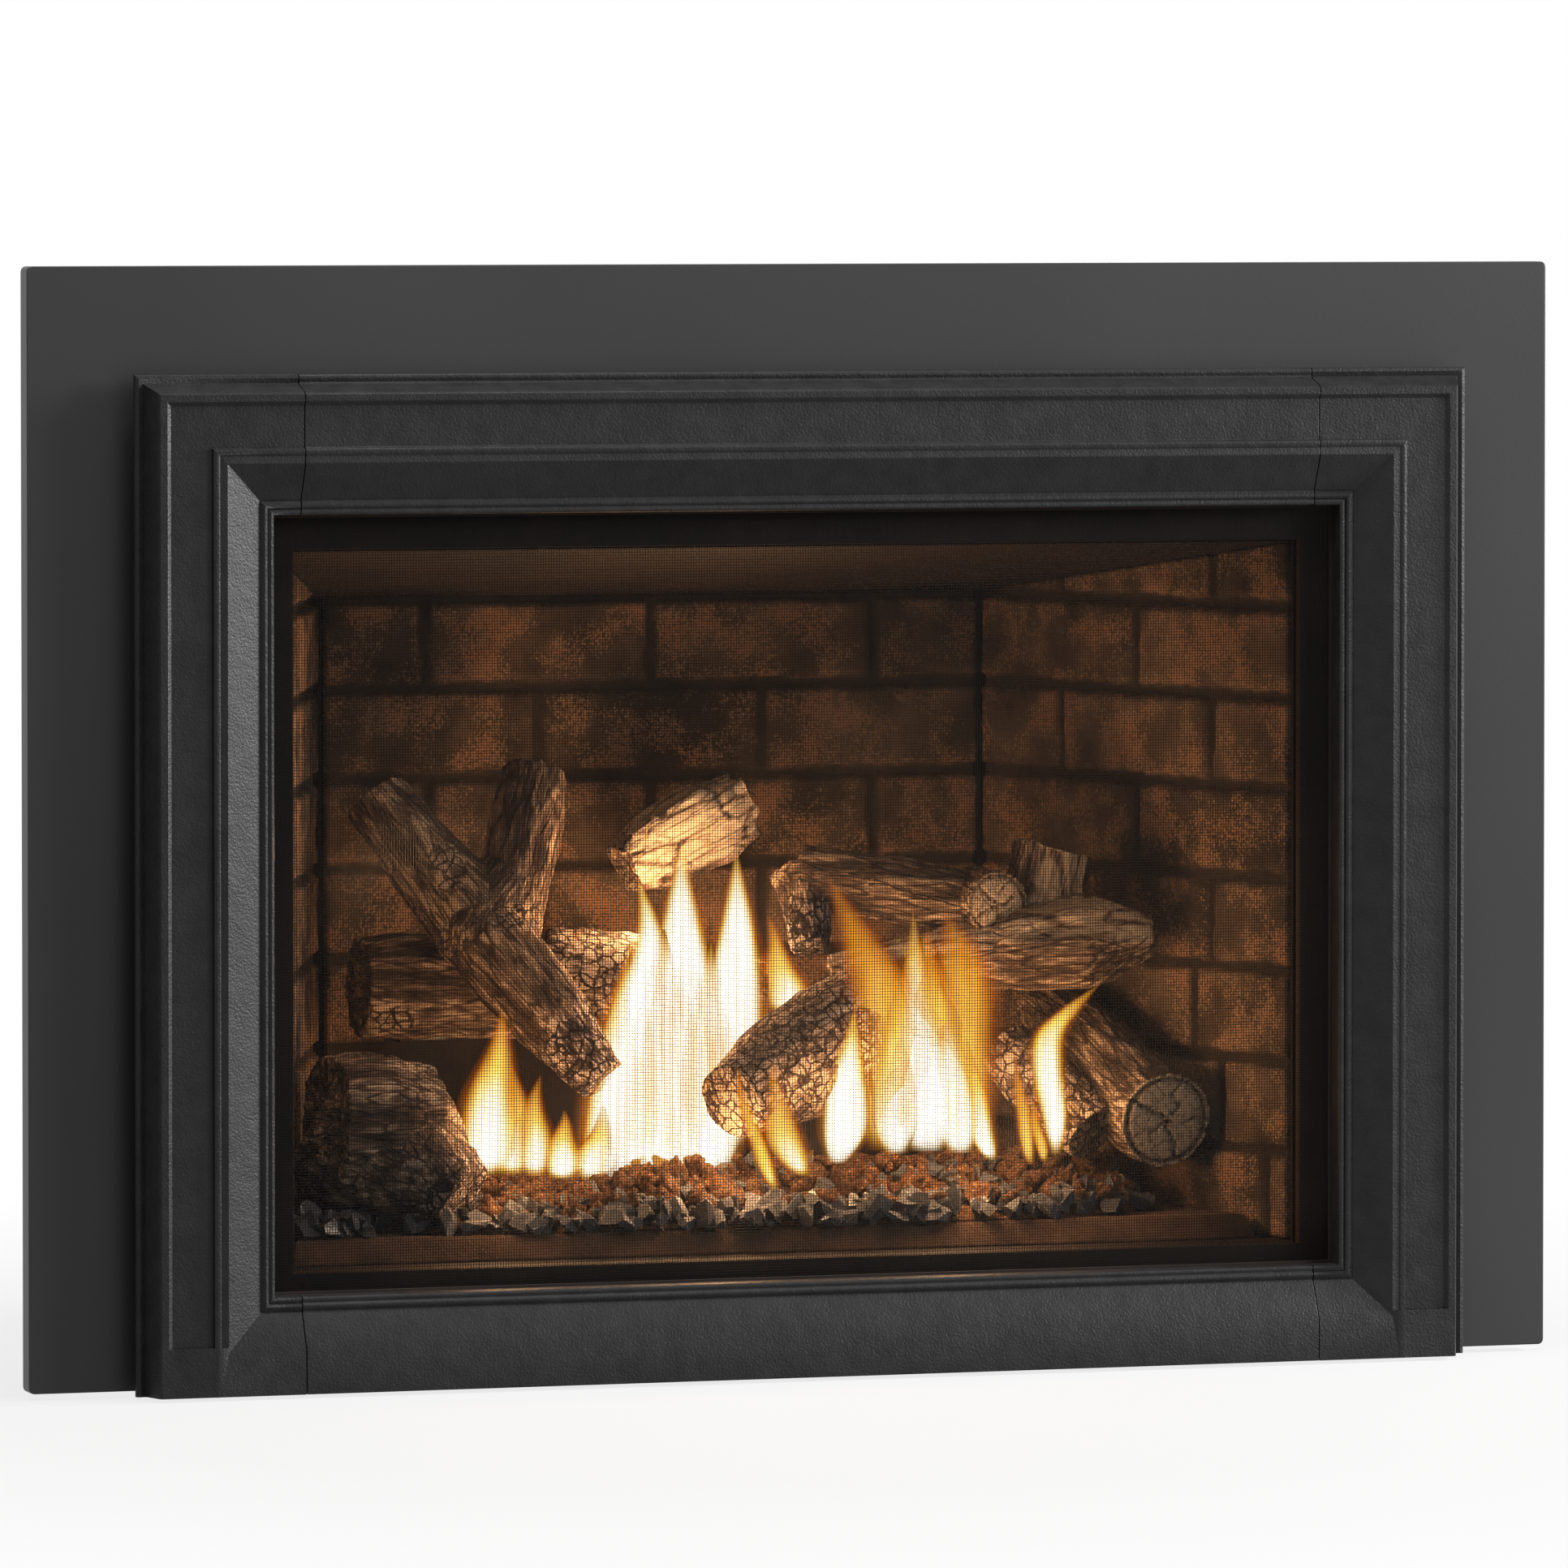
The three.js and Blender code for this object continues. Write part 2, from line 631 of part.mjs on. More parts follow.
// Firebox shell. The wrap stands on the base plate.
const wrapOut = brickThick + gap * 2;
function fireboxPlan(out, front, back) {
  return [[wallX(front, out), front], [wallX(back, out), back], [-wallX(back, out), back],
    [-wallX(front, out), front]];
}
const wrapInnerBack = wallBackY + brickThick + gap;
const wrapBack = wrapInnerBack + sheet;
const collarHole = (z) => rod([collarX, collarY, z - 10], [collarX, collarY, z + 10], collarRadius, 32);
function fireboxShell() {
  const outer = prism("z", fireboxPlan(wrapOut + sheet, fireboxFront, wrapBack), sheet + gap, fireboxTop);
  const inner = prism("z", fireboxPlan(wrapOut, fireboxFront - 1, wrapInnerBack), 0, fireboxTop + 1);
  const airWindow = box(-airWindowHalf, airWindowHalf, wrapInnerBack - 5, wrapBack + 5, 0, floorTop - 12);
  place("firebox_wrap", cut(outer, inner, pipeHole(wallBackHalf, casingHalf), airWindow), "blackSteel");
  const topZ = fireboxTop + gap;
  const lid = prism("z", fireboxPlan(wrapOut + sheet, fireboxFront, wrapBack), topZ, topZ + sheet);
  place("firebox_top", cut(lid, collarHole(topZ)), "blackSteel");
  const floor = prism("z", fireboxPlan(wrapOut - gap, fireboxFront, wrapInnerBack - gap),
    floorTop - sheet, floorTop);
  const riserHole = rod([venturiX, venturiBack, floorTop - 2 * sheet], [venturiX, venturiBack, floorTop + sheet],
    riserRadius + riserGap);
  place("firebox_floor", cut(floor, riserHole), "blackSteel");
  const frontRing = uprightRing(
    [-frontFrameHalf, frontFrameHalf, frontFrameBottom, fireboxTop],
    [-glassOpenHalf, glassOpenHalf, floorTop, glassOpenTop], frontFrameY, frontFrameY + sheet);
  place("firebox_front_frame", frontRing, "blackSteel");
  const y0 = wallFrontY;
  const y1 = wallBackY;
  const plan = prism("z", fireboxPlan(wrapOut - gap * 2, y0, y1 - gap), baffleBack - sheet,
    baffleFront + 2 * sheet);
  const slab = [[y0, baffleZ(y0)], [y1, baffleZ(y1)], [y1, baffleZ(y1) + sheet], [y0, baffleZ(y0) + sheet]];
  place("baffle", plan.intersect(prism("x", slab, -casingHalf, casingHalf)), "blackSteel");
}
fireboxShell();

// Brick panels: a backing slab with each brick standing proud of the joints.
function brickWall(length, height, placement, slabExtra) {
  const slab = box(0, length + slabExtra, brickRelief, brickThick, firstCourse - joint, firstCourse + height,
    placement);
  const bricks = [];
  const courses = Math.ceil(height / coursePitch);
  for (let course = 0; course < courses; course++) {
    const low = firstCourse + course * coursePitch + joint / 2;
    const first = length / 2 - brickLength * Math.ceil(length / 2 / brickLength);
    for (let x = first - (course % 2) * brickLength / 2; x < length; x += brickLength) {
      const x0 = Math.max(x + joint / 2, 0);
      const x1 = Math.min(x + brickLength - joint / 2, length);
      if (x1 - x0 > joint) {
        bricks.push(box(x0, x1, 0, brickRelief + 1, low, low + coursePitch - joint, placement));
      }
    }
  }
  return join(slab, ...bricks);
}

function brickPanels() {
  const bottom = floorTop + gap;
  const height = baffleFront + coursePitch - firstCourse;
  const outerY = wallBackY + brickThick;
  const backWidth = 2 * (wallX(outerY) - gap);
  const backPlace = new THREE.Matrix4().makeTranslation(-backWidth / 2, wallBackY, 0);
  const backPlan = prism("z", fireboxPlan(-gap, wallBackY - 1, outerY + 1), bottom,
    baffleZ(wallBackY) + sheet);
  place("brick_panel_back", brickWall(backWidth, height, backPlace, 0).intersect(backPlan), "brick");
  const angle = Math.atan2(wallBackY - wallFrontY, wallFrontHalf - wallBackHalf);
  const under = [[wallFrontY, bottom], [outerY, bottom], [outerY, baffleZ(outerY) - gap],
    [wallFrontY, baffleZ(wallFrontY) - gap]];
  const limit = prism("x", under, -casingHalf, casingHalf);
  const leftPlace = new THREE.Matrix4().makeRotationZ(angle).setPosition(-wallFrontHalf, wallFrontY, 0);
  const rightPlace = new THREE.Matrix4().makeRotationZ(-angle).setPosition(wallBackHalf, wallBackY, 0);
  const left = brickWall(wallRun, height, leftPlace, 2 * brickThick);
  const right = brickWall(wallRun, height, rightPlace, brickThick);
  place("brick_panel_left", left.intersect(limit), "brick");
  place("brick_panel_right", right.intersect(limit), "brick");
}
brickPanels();

// Glass: frame with a rebate, ceramic sheet and rope gasket.
function glassParts() {
  const rebateHalf = glassOpenHalf + glassFrameWidth - glassLip;
  const rebateLow = glassOpenBottom - glassFrameWidth + glassLip;
  const rebateHigh = glassOpenTop + glassFrameWidth - glassLip;
  const outer = [-rebateHalf - glassLip, rebateHalf + glassLip, rebateLow - glassLip, rebateHigh + glassLip];
  const inner = [-glassOpenHalf, glassOpenHalf, glassOpenBottom, glassOpenTop];
  const glassY = flangeY + sheet;
  const frame = uprightRing(outer, inner, -glassFrameRise, gasketY - gap);
  const rebate = box(-rebateHalf, rebateHalf, glassY, gasketY + 5, rebateLow, rebateHigh);
  place("glass_frame", cut(frame, rebate), "blackSteel");
  place("glass_panel", box(-rebateHalf + gap, rebateHalf - gap, glassY + gap, glassY + gap + glassThick,
    rebateLow + gap, rebateHigh - gap), "glass");
  const edge = [-rebateHalf + gap, rebateHalf - gap, rebateLow + gap, rebateHigh - gap];
  const hollow = [edge[0] + gasketWidth, edge[1] - gasketWidth, edge[2] + gasketWidth, edge[3] - gasketWidth];
  place("glass_gasket", uprightRing(edge, hollow, gasketY, gasketY + gasketThick), "gasket");
}
glassParts();

// Glass latches: a turn button on a pin, its finger in front of the glass frame.
function latches() {
  const back = -glassFrameRise - gap;
  const front = back - latchArm;
  for (const side of [-1, 1]) {
    const name = side < 0 ? "left" : "right";
    const x = side * latchX;
    const along = (y0, y1, radius) => rod([x, y0, latchPivotZ], [x, y1, latchPivotZ], radius, 20);
    const tip = latchPivotZ + latchReach;
    const arm = box(x - latchWidth / 2, x + latchWidth / 2, front, back, latchPivotZ, tip);
    const tab = box(x - latchWidth / 2, x + latchWidth / 2, front - latchTab, back, tip - latchArm, tip);
    const boss = along(front, back, latchWidth / 2);
    place("glass_latch_" + name, cut(join(arm, tab, boss), along(front - 1, back + 1, latchPin + latchPinGap)),
      "galvanised");
    const post = along(back + gap, frontFrameY - gap, latchWidth / 2);
    const pin = along(front - gap - 1, back + gap + 1, latchPin);
    const head = along(front - gap - latchArm, front - gap, latchHead);
    place("latch_bracket_" + name, join(post, pin, head), "galvanised");
  }
}
latches();

// Burner: hollow tray with a sloped front, on the firebox floor.
function burnerTray() {
  const low = floorTop + gap;
  const side = (y) => wallX(y) - traySideGap;
  const plan = (inset) => [[side(trayFront) - inset, trayFront], [side(trayBack) - inset, trayBack],
    [-side(trayBack) + inset, trayBack], [-side(trayFront) + inset, trayFront]];
  const profile = [[trayFront, low], [trayFront + traySlope, trayTop], [trayBack, trayTop], [trayBack, low]];
  const hollow = [[trayFront + 6, low - 1], [trayFront + traySlope, trayTop - sheet],
    [trayBack - sheet, trayTop - sheet], [trayBack - sheet, low - 1]];
  const outer = prism("z", plan(0), low, trayTop).intersect(prism("x", profile, -casingHalf, casingHalf));
  const inner = prism("z", plan(sheet), low - 1, trayTop)
    .intersect(prism("x", hollow, -casingHalf, casingHalf));
  return cut(outer, inner);
}
place("burner_tray", burnerTray(), "refractory");

// Log set. Each stem is a tapering round bar: its two ends and its radii. Heights are
// counted from the rear shelf.
const logSet = {
  cut_log: { finish: "bark", stems: [[[330, 106, -62], [280, 255, 16], [36, 37, 36, 33, 28]]] },
  left_split_log: { finish: "bark", stems: [[[-322, 172, -26], [-248, 92, -93], [56, 58, 52, 36, 20]]] },
  diagonal_log: { finish: "bark", stems: [[[-22, 100, -36], [168, 217, 39], [32, 38, 39, 36, 24]]] },
  low_log: { finish: "char", stems: [[[229, 200, -10], [276, 124, -71], [24, 28, 28, 24]]] },
  char_log: { finish: "char", stems: [[[-129, 260, 48], [38, 226, 21], [40, 48, 47, 38]]] },
  rear_left_log: { finish: "bark", stems: [[[-268, 285, 43], [-131, 285, 40], [38, 40, 40, 38]]] },
  fork_log: { finish: "bark", stems: [
    [[-250, 300, 189], [-108, 162, -24], [22, 27, 31, 31, 28, 20]],
    [[-124, 292, 204], [-164, 232, 86], [22, 25, 25, 22]]] },
  long_log: { finish: "splitWood", stems: [
    [[92, 214, 56], [333, 148, 80], [9, 17, 25, 29, 24, 12]],
    [[256, 188, 70], [270, 200, 136], [24, 23, 19]]] },
  elbow_log: { finish: "bark", stems: [
    [[211, 187, 104], [80, 251, 123], [22, 24, 24, 24]],
    [[82, 253, 125], [77, 217, 71], [24, 19, 15]]] },
  pale_split_log: { finish: "splitWood", stems: [[[-49, 285, 133], [41, 298, 181], [30, 36, 34, 22]]] },
};
const logSides = 10;
const wallGap = 4; // logs and embers to the bricks

function logBody(log, grow) {
  const raised = ([x, y, z]) => [x, y, shelfHeight + z];
  const stems = log.stems.map(([from, to, radii]) => bar(raised(from), raised(to),
    radii.map((r) => r + grow), logSides));
  return join(...stems);
}

/** Each log, trimmed to clear the walls and every log laid before it. */
const room = prism("z", fireboxPlan(-wallGap, wallFrontY, wallBackY - wallGap), trayTop, baffleFront);
function laidLogs() {
  const laid = [];
  for (const [name, log] of Object.entries(logSet)) {
    const body = cut(logBody(log, 0).intersect(room), ...laid);
    place(name, body, log.finish);
    laid.push(logBody(log, gap));
  }
  return laid;
}
const logClearances = laidLogs();

// Ember bed: charcoal and rock wool heaped up towards the logs.
function emberBed() {
  const low = trayTop + gap;
  const top = shelfHeight - emberDrop;
  const span = emberBack - emberFront;
  const profile = [[emberFront, low], [emberFront + span * 0.04, low + 5], [emberFront + span * 0.3, low + 17],
    [emberFront + span * 0.6, top - 12], [emberFront + span * 0.75, top], [emberBack, top - 4], [emberBack, low]];
  const heap = prism("x", profile, -emberLeft, emberRight);
  const plan = [];
  const middle = (emberRight - emberLeft) / 2;
  const half = (emberRight + emberLeft) / 2;
  for (let i = 0; i <= 12; i++) {
    const angle = Math.PI * i / 12;
    const fall = Math.sign(Math.cos(angle)) * Math.sqrt(Math.abs(Math.cos(angle)));
    plan.push([middle + half * fall, emberBack - span * Math.sqrt(Math.sin(angle))]);
  }
  return cut(heap.intersect(prism("z", plan.reverse(), low - 1, top + 1)).intersect(room), ...logClearances);
}
place("ember_bed", emberBed(), "ember");

// Shelf for the rear logs, fixed to the firebox floor.
function logShelf() {
  const low = floorTop + gap;
  return join(box(-shelfHalf, shelfHalf, shelfY, shelfY + sheet, low, shelfHeight),
    box(-shelfHalf, shelfHalf, shelfY - shelfDepth, shelfY + sheet, shelfHeight - sheet, shelfHeight),
    box(-shelfHalf, shelfHalf, shelfY, shelfY + shelfDepth / 2, low, low + sheet));
}
place("rear_log_shelf", cut(logShelf(), ...logClearances), "blackSteel");

// Burner feed: venturi with its riser, sliding air shutter and pull rod.
function burnerFeed() {
  const at = (y, z = venturiZ) => [venturiX, y, z];
  const outer = rod(at(venturiFront), at(venturiBack + riserRadius), venturiRadius, 20);
  const riser = rod(at(venturiBack, venturiZ), at(venturiBack, trayTop - sheet - 4), riserRadius, 20);
  const bore = rod(at(venturiFront - 1), at(venturiBack), venturiRadius - venturiWall, 20);
  const riserBore = rod(at(venturiBack, venturiZ), at(venturiBack, trayTop), riserRadius - venturiWall, 20);
  place("burner_venturi", cut(join(outer, riser), bore, riserBore), "aluminium");
  const inner = venturiRadius + runningGap;
  const front = venturiFront - shutterLength / 2;
  const sleeve = cut(rod(at(front), at(front + shutterLength), inner + shutterWall, 20),
    rod(at(front - 1), at(front + shutterLength + 1), inner, 20));
  const rodZ = venturiZ - inner - shutterWall - rodRadius + 1;
  const pull = rod(at(rodTip, rodZ), at(front + shutterLength, rodZ), rodRadius, 12);
  const grip = rod(at(rodTip - 8, rodZ), at(rodTip + 1, rodZ), rodRadius * 2, 16);
  place("air_shutter", join(sleeve, cut(pull, rod(at(front - 1), at(front + shutterLength + 1), inner, 20)),
    grip), "aluminium");
  return rodZ;
}
const rodZ = burnerFeed();

// Control panel and gas valve, with knobs, igniter button and rocker switch.
const [valveKnobX, flameKnobX, buttonX] = controlOffsets.map((offset) => valveX + offset);
const valveFront = panelY + panelThick + gap;
const valveBottom = sheet + 4;
const forward = (x, y, z = controlZ) => [x, y, z];
function controls() {
  const panelHole = (x, radius) => rod(forward(x, panelY - 5), forward(x, panelY + 5), radius, 20);
  const throughRod = rod(forward(venturiX, panelY - 5, rodZ), forward(venturiX, panelY + 5, rodZ),
    rodRadius + runningGap, 16);
  const low = sheet + gap;
  const plate = join(box(panelLeft, panelRight, panelY, panelY + panelThick, low, panelTop),
    box(panelLeft, valveX - valveWidth / 2 - panelFootGap, panelY, panelY + panelFoot, low, low + panelThick),
    box(valveX + valveWidth / 2 + panelFootGap, panelRight, panelY, panelY + panelFoot, low,
      low + panelThick));
  const switchHalf = [rockerWidth / 2 + switchWall, rockerLength / 2 + switchWall];
  const switchHole = box(switchX - switchHalf[0] - gap, switchX + switchHalf[0] + gap, panelY - 5, panelY + 5,
    controlZ - switchHalf[1] - gap, controlZ + switchHalf[1] + gap);
  const stemHoles = [valveKnobX, flameKnobX, buttonX].map((x) => panelHole(x, stemRadius + runningGap));
  place("control_panel", cut(plate, ...stemHoles, switchHole, throughRod), "galvanised");

  const valve = join(
    box(valveX - valveWidth / 2, valveX + valveWidth / 2, valveFront, valveFront + valveDepth,
      valveBottom, valveBottom + valveHeight * 0.75),
    rod([valveX, valveFront + valveDepth / 2, valveBottom + 10],
      [valveX, valveFront + valveDepth / 2, valveBottom + valveHeight], valveDepth * 0.36, 20),
    box(valveX - 6, valveX + 6, valveFront + 10, valveFront + valveDepth - 10, sheet + gap, valveBottom + 2));
  const stemBore = (x, travel) => rod(forward(x, valveFront - 1),
    forward(x, valveFront + stemDepth + travel + 1), stemRadius + runningGap);
  place("gas_valve", cut(valve, stemBore(valveKnobX, 0), stemBore(flameKnobX, 0),
    stemBore(buttonX, buttonTravel)), "aluminium");

  const knobBack = panelY - knobStandoff;
  for (const [name, x] of [["valve_knob", valveKnobX], ["flame_knob", flameKnobX]]) {
    const body = bar(forward(x, knobBack), forward(x, knobBack - knobLength),
      [knobRadius, knobRadius, knobRadius * 0.9], 24);
    const grip = box(x - 2, x + 2, knobBack - knobLength - 3, knobBack - 1, controlZ - knobRadius * 0.8,
      controlZ + knobRadius * 0.8);
    const stem = rod(forward(x, valveFront + stemDepth), forward(x, knobBack - 1), stemRadius);
    place(name, join(body, grip, stem), "blackPlastic");
  }

  const capBack = panelY - buttonTravel - 1;
  place("igniter_button", join(bar(forward(buttonX, capBack), forward(buttonX, capBack - 7),
    [buttonRadius, buttonRadius, buttonRadius * 0.85], 20),
  rod(forward(buttonX, capBack - 1), forward(buttonX, valveFront + stemDepth), stemRadius)), "brass");

  const [halfX, halfZ] = switchHalf;
  const housing = join(
    box(switchX - halfX, switchX + halfX, panelY - 2, panelY + switchDepth, controlZ - halfZ, controlZ + halfZ),
    box(switchX - halfX - 2, switchX + halfX + 2, panelY - 3, panelY - gap, controlZ - halfZ - 2,
      controlZ + halfZ + 2));
  const cavity = box(switchX - rockerWidth / 2 - runningGap, switchX + rockerWidth / 2 + runningGap, panelY - 10,
    panelY + 18, controlZ - rockerLength / 2 - runningGap * 2, controlZ + rockerLength / 2 + runningGap * 2);
  place("switch_housing", cut(housing, cavity), "blackPlastic");
  const half = rockerLength / 2 - 0.5;
  const outline = [[-5, -half], [-8, 0], [-5, half], [4, half * 0.6], [4, -half * 0.6]];
  const turned = outline.map(([y, z]) => [
    panelY + 4 + y * Math.cos(rockerTilt) - z * Math.sin(rockerTilt),
    controlZ + y * Math.sin(rockerTilt) + z * Math.cos(rockerTilt)]);
  place("rocker_switch", prism("x", turned, switchX - rockerWidth / 2, switchX + rockerWidth / 2),
    "blackPlastic");
}
controls();

// Gas pipes and pilot.
function gasPipes() {
  const valveRight = valveX + valveWidth / 2 + gap;
  const inletEnd = casingHalf + 4;
  const fittingEnd = inletEnd + fittingLength;
  const inlet = join(rod([valveRight, pipeY, pipeZ], [inletEnd + 2, pipeY, pipeZ], pipeRadius),
    rod([inletEnd, pipeY, pipeZ], [fittingEnd, pipeY, pipeZ], fittingRadius, 6));
  const tapped = rod([fittingEnd - inletDepth, pipeY, pipeZ], [fittingEnd + 1, pipeY, pipeZ], inletRadius,
    roundSides);
  place("gas_inlet_pipe", cut(inlet, tapped), "brass");
  const valveLeft = valveX - valveWidth / 2 - gap;
  const feedY = valveFront + feedRadius + 5;
  const bend = 12;
  place("burner_pipe", tubeAlong([[valveLeft, feedY, valveBottom + 20], [valveLeft - 8, feedY, valveBottom + 20],
    [venturiX + bend + 4, feedY, venturiZ - 3], [venturiX + 4, feedY + bend * 0.35, venturiZ],
    [venturiX, feedY + bend, venturiZ], [venturiX, venturiFront - 10, venturiZ],
    [venturiX, venturiFront + 8, venturiZ]], feedRadius, 16), "aluminium");
  const low = floorTop + gap;
  const bracket = box(pilotX - 22, pilotX + 22, pilotY - 3, pilotY - 1, low, low + pilotHeight * 0.7);
  const foot = box(pilotX - 22, pilotX + 22, pilotY - 3, pilotY + 12, low, low + sheet);
  const hood = rod([pilotX, pilotY + 3, low], [pilotX, pilotY + 3, low + pilotHeight], 6, 12);
  const electrode = rod([pilotX + 14, pilotY, low + 10], [pilotX + 14, pilotY, low + pilotHeight], 2, 8);
  place("pilot_assembly", join(bracket, foot, hood, electrode), "aluminium");
}
gasPipes();

// Blower: a long squirrel-cage rotor in a scroll, driven by a motor on its right.
function blower() {
  const x0 = rotorCentre - rotorLength / 2;
  const x1 = rotorCentre + rotorLength / 2;
  const at = (x) => [x, blowerY, blowerZ];
  const scrollInner = rotorRadius + scrollGap;
  const scrollOuter = scrollInner + sheet;
  const shell = cut(rod(at(x0 - 6), at(x1 + 6), scrollOuter, 24), rod(at(x0 - 4), at(x1 + 4), scrollInner, 24),
    box(x0 - 4, x1 + 4, blowerY, blowerY + scrollOuter + 2, blowerZ - 8, blowerZ + scrollOuter + 2),
    rod(at(x0 - 10), at(x1 + 10), shaftRadius + runningGap * 2));
  const feet = [x0 + 10, x1 - 20].map((x) => box(x, x + 10, blowerY - 8, blowerY + 8, sheet + gap,
    blowerZ - scrollInner - 0.5));
  place("blower_housing", join(shell, ...feet), "galvanised");
  const discs = [x0, x1 - endDisc].map((x) => rod(at(x), at(x + endDisc), rotorRadius, 28));
  const blades = [];
  for (let i = 0; i < bladeCount; i++) {
    const turn = new THREE.Matrix4().makeRotationX(2 * Math.PI * i / bladeCount);
    blades.push(box(x0 + 1, x1 - 1, rotorRadius - bladeDepth - 0.5, rotorRadius - 0.5, -bladeThick / 2,
      bladeThick / 2, turn.setPosition(0, blowerY, blowerZ)));
  }
  const motorLeft = x1 + motorGap;
  const shaft = rod(at(x0 - shaftTail), at(motorLeft + shaftSeat), shaftRadius);
  place("blower_rotor", join(...discs, ...blades, shaft), "galvanised");
  const motor = join(rod(at(motorLeft), at(motorLeft + motorLength), motorRadius, 24),
    box(motorLeft + 8, motorLeft + motorLength - 8, blowerY - 14, blowerY + 14, sheet + gap, blowerZ));
  place("blower_motor", cut(motor, rod(at(motorLeft - 1), at(motorLeft + shaftSeat + 10), shaftRadius + runningGap * 2)),
    "blackSteel");
}
blower();

// Vent collars: exhaust from the firebox top, intake on the casing top.
function collars() {
  const end = casingTop + sheet + collarHeight;
  const collar = (x, low) => {
    const at = (z) => [x, collarY, z];
    const bore = rod(at(low - 1), at(end + 1), collarRadius, roundSides);
    return cut(join(rod(at(low), at(end), collarRadius + collarWall, roundSides),
      rod(at(low), at(low + collarWall), collarRadius + collarFlange, roundSides)), bore);
  };
  place("exhaust_collar", collar(collarX, fireboxTop + sheet + 2 * gap), "aluminium");
  place("intake_collar", collar(-collarX, casingTop + sheet + 2 * gap), "aluminium");
}
collars();

export default insert;
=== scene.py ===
"""Gas fireplace insert: a cast-iron front with a woven screen on a steel surround, and behind the
glass a brick-lined firebox with a ceramic log set, an ember bed and the flames."""
import math

import bmesh
import bpy
import numpy as np
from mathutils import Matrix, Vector


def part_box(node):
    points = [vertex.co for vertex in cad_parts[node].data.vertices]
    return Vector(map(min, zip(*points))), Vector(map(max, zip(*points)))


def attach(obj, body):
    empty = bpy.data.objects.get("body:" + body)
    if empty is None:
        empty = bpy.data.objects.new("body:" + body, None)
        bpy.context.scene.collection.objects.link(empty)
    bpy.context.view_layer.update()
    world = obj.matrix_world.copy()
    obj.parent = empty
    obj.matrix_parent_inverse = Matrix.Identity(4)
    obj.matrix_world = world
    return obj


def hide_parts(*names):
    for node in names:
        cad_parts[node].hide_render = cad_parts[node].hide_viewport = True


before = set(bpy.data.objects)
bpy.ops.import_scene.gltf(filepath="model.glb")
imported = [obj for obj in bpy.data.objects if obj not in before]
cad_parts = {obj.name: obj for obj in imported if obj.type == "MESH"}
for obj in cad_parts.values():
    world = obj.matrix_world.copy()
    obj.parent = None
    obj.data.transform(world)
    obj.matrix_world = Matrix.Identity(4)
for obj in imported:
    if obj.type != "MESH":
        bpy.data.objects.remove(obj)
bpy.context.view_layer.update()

# ------------------------------
# Outer casing and the steel that carries it: base plate, wrap, top, the frame that the surround
# screws to, and the two hanger brackets. Hot-dip galvanised sheet, cut, folded and riveted.
# ------------------------------


def colour(code):
    """An sRGB hex colour as linear red, green, blue and alpha."""
    parts = [int(code[i:i + 2], 16) / 255 for i in (1, 3, 5)]
    return [c / 12.92 if c <= 0.04045 else ((c + 0.055) / 1.055) ** 2.4 for c in parts] + [1.0]


def feed(node, inputs):
    """Sets a node's inputs to values, or links them to sockets or to other nodes' first outputs."""
    for name, value in inputs.items():
        if isinstance(value, bpy.types.Node):
            value = value.outputs[0]
        if isinstance(value, bpy.types.NodeSocket):
            node.id_data.links.new(value, node.inputs[name])
        else:
            node.inputs[name].default_value = value


def add(tree, kind, inputs=None, stops=None, **settings):
    """Adds a node with its settings, what feeds it and, on a colour ramp, its stops."""
    node = tree.nodes.new("ShaderNode" + kind)
    for name, value in settings.items():
        setattr(node, name, value)
    feed(node, inputs or {})
    for number, (place, code) in enumerate(stops or []):
        ramp = node.color_ramp.elements
        stop = ramp[number] if number < 2 else ramp.new(place)
        stop.position, stop.color = place, colour(code)
    return node


def finish(name, **sockets):
    """A new surface: its material, node tree, shader and the place on the piece in metres."""
    material = bpy.data.materials.new(name)
    material.use_nodes = True
    tree = material.node_tree
    shader = tree.nodes["Principled BSDF"]
    feed(shader, {socket.replace("_", " "): value for socket, value in sockets.items()})
    return material, tree, shader, add(tree, "TexCoord").outputs["Object"]


def dress(names, material, edge, merge=True):
    """Gives the solids of the frame their finish, with their edges rounded by `edge` mm."""
    for name in names:
        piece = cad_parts[name]
        for slot in piece.material_slots:
            slot.material = material
        piece.data.polygons.foreach_set("use_smooth", [True] * len(piece.data.polygons))
        weld = piece.modifiers.new("weld", "WELD")
        weld.merge_threshold = 1e-5
        if merge:
            flat = piece.modifiers.new("flat faces", "DECIMATE")
            flat.decimate_type, flat.angle_limit = "DISSOLVE", math.radians(0.8)
        bevel = piece.modifiers.new("rounded edges", "BEVEL")
        bevel.width, bevel.segments = edge / 1000, 2
        bevel.limit_method, bevel.angle_limit = "ANGLE", math.radians(28)
        piece.modifiers.new("even shading", "WEIGHTED_NORMAL")


# Galvanised steel: zinc frozen in leaf-shaped spangles about 9 mm across, each with its own grey.
galvanised, tree, shader, at = finish("galvanised_sheet", Metallic=1.0)
spangle = add(tree, "TexVoronoi", {"Vector": at, "Scale": 110.0})
cloud = add(tree, "TexNoise", {"Vector": at, "Scale": 14.0, "Detail": 4.0})
shade = add(tree, "Mix", {0: 0.35, 2: spangle.outputs["Color"], 3: cloud})
tone = add(tree, "ValToRGB", {"Fac": shade},
           stops=[(0.2, "#8a8f91"), (0.8, "#aeb3b5"), (0.5, "#9da2a4")])
gloss = add(tree, "MapRange", {"Value": shade, "To Min": 0.34, "To Max": 0.58})
feed(shader, {"Base Color": tone, "Roughness": gloss})
dress(["casing_wrap", "casing_top", "base_plate", "face_frame", "hanger_bracket_left",
       "hanger_bracket_right"], galvanised, 0.5)

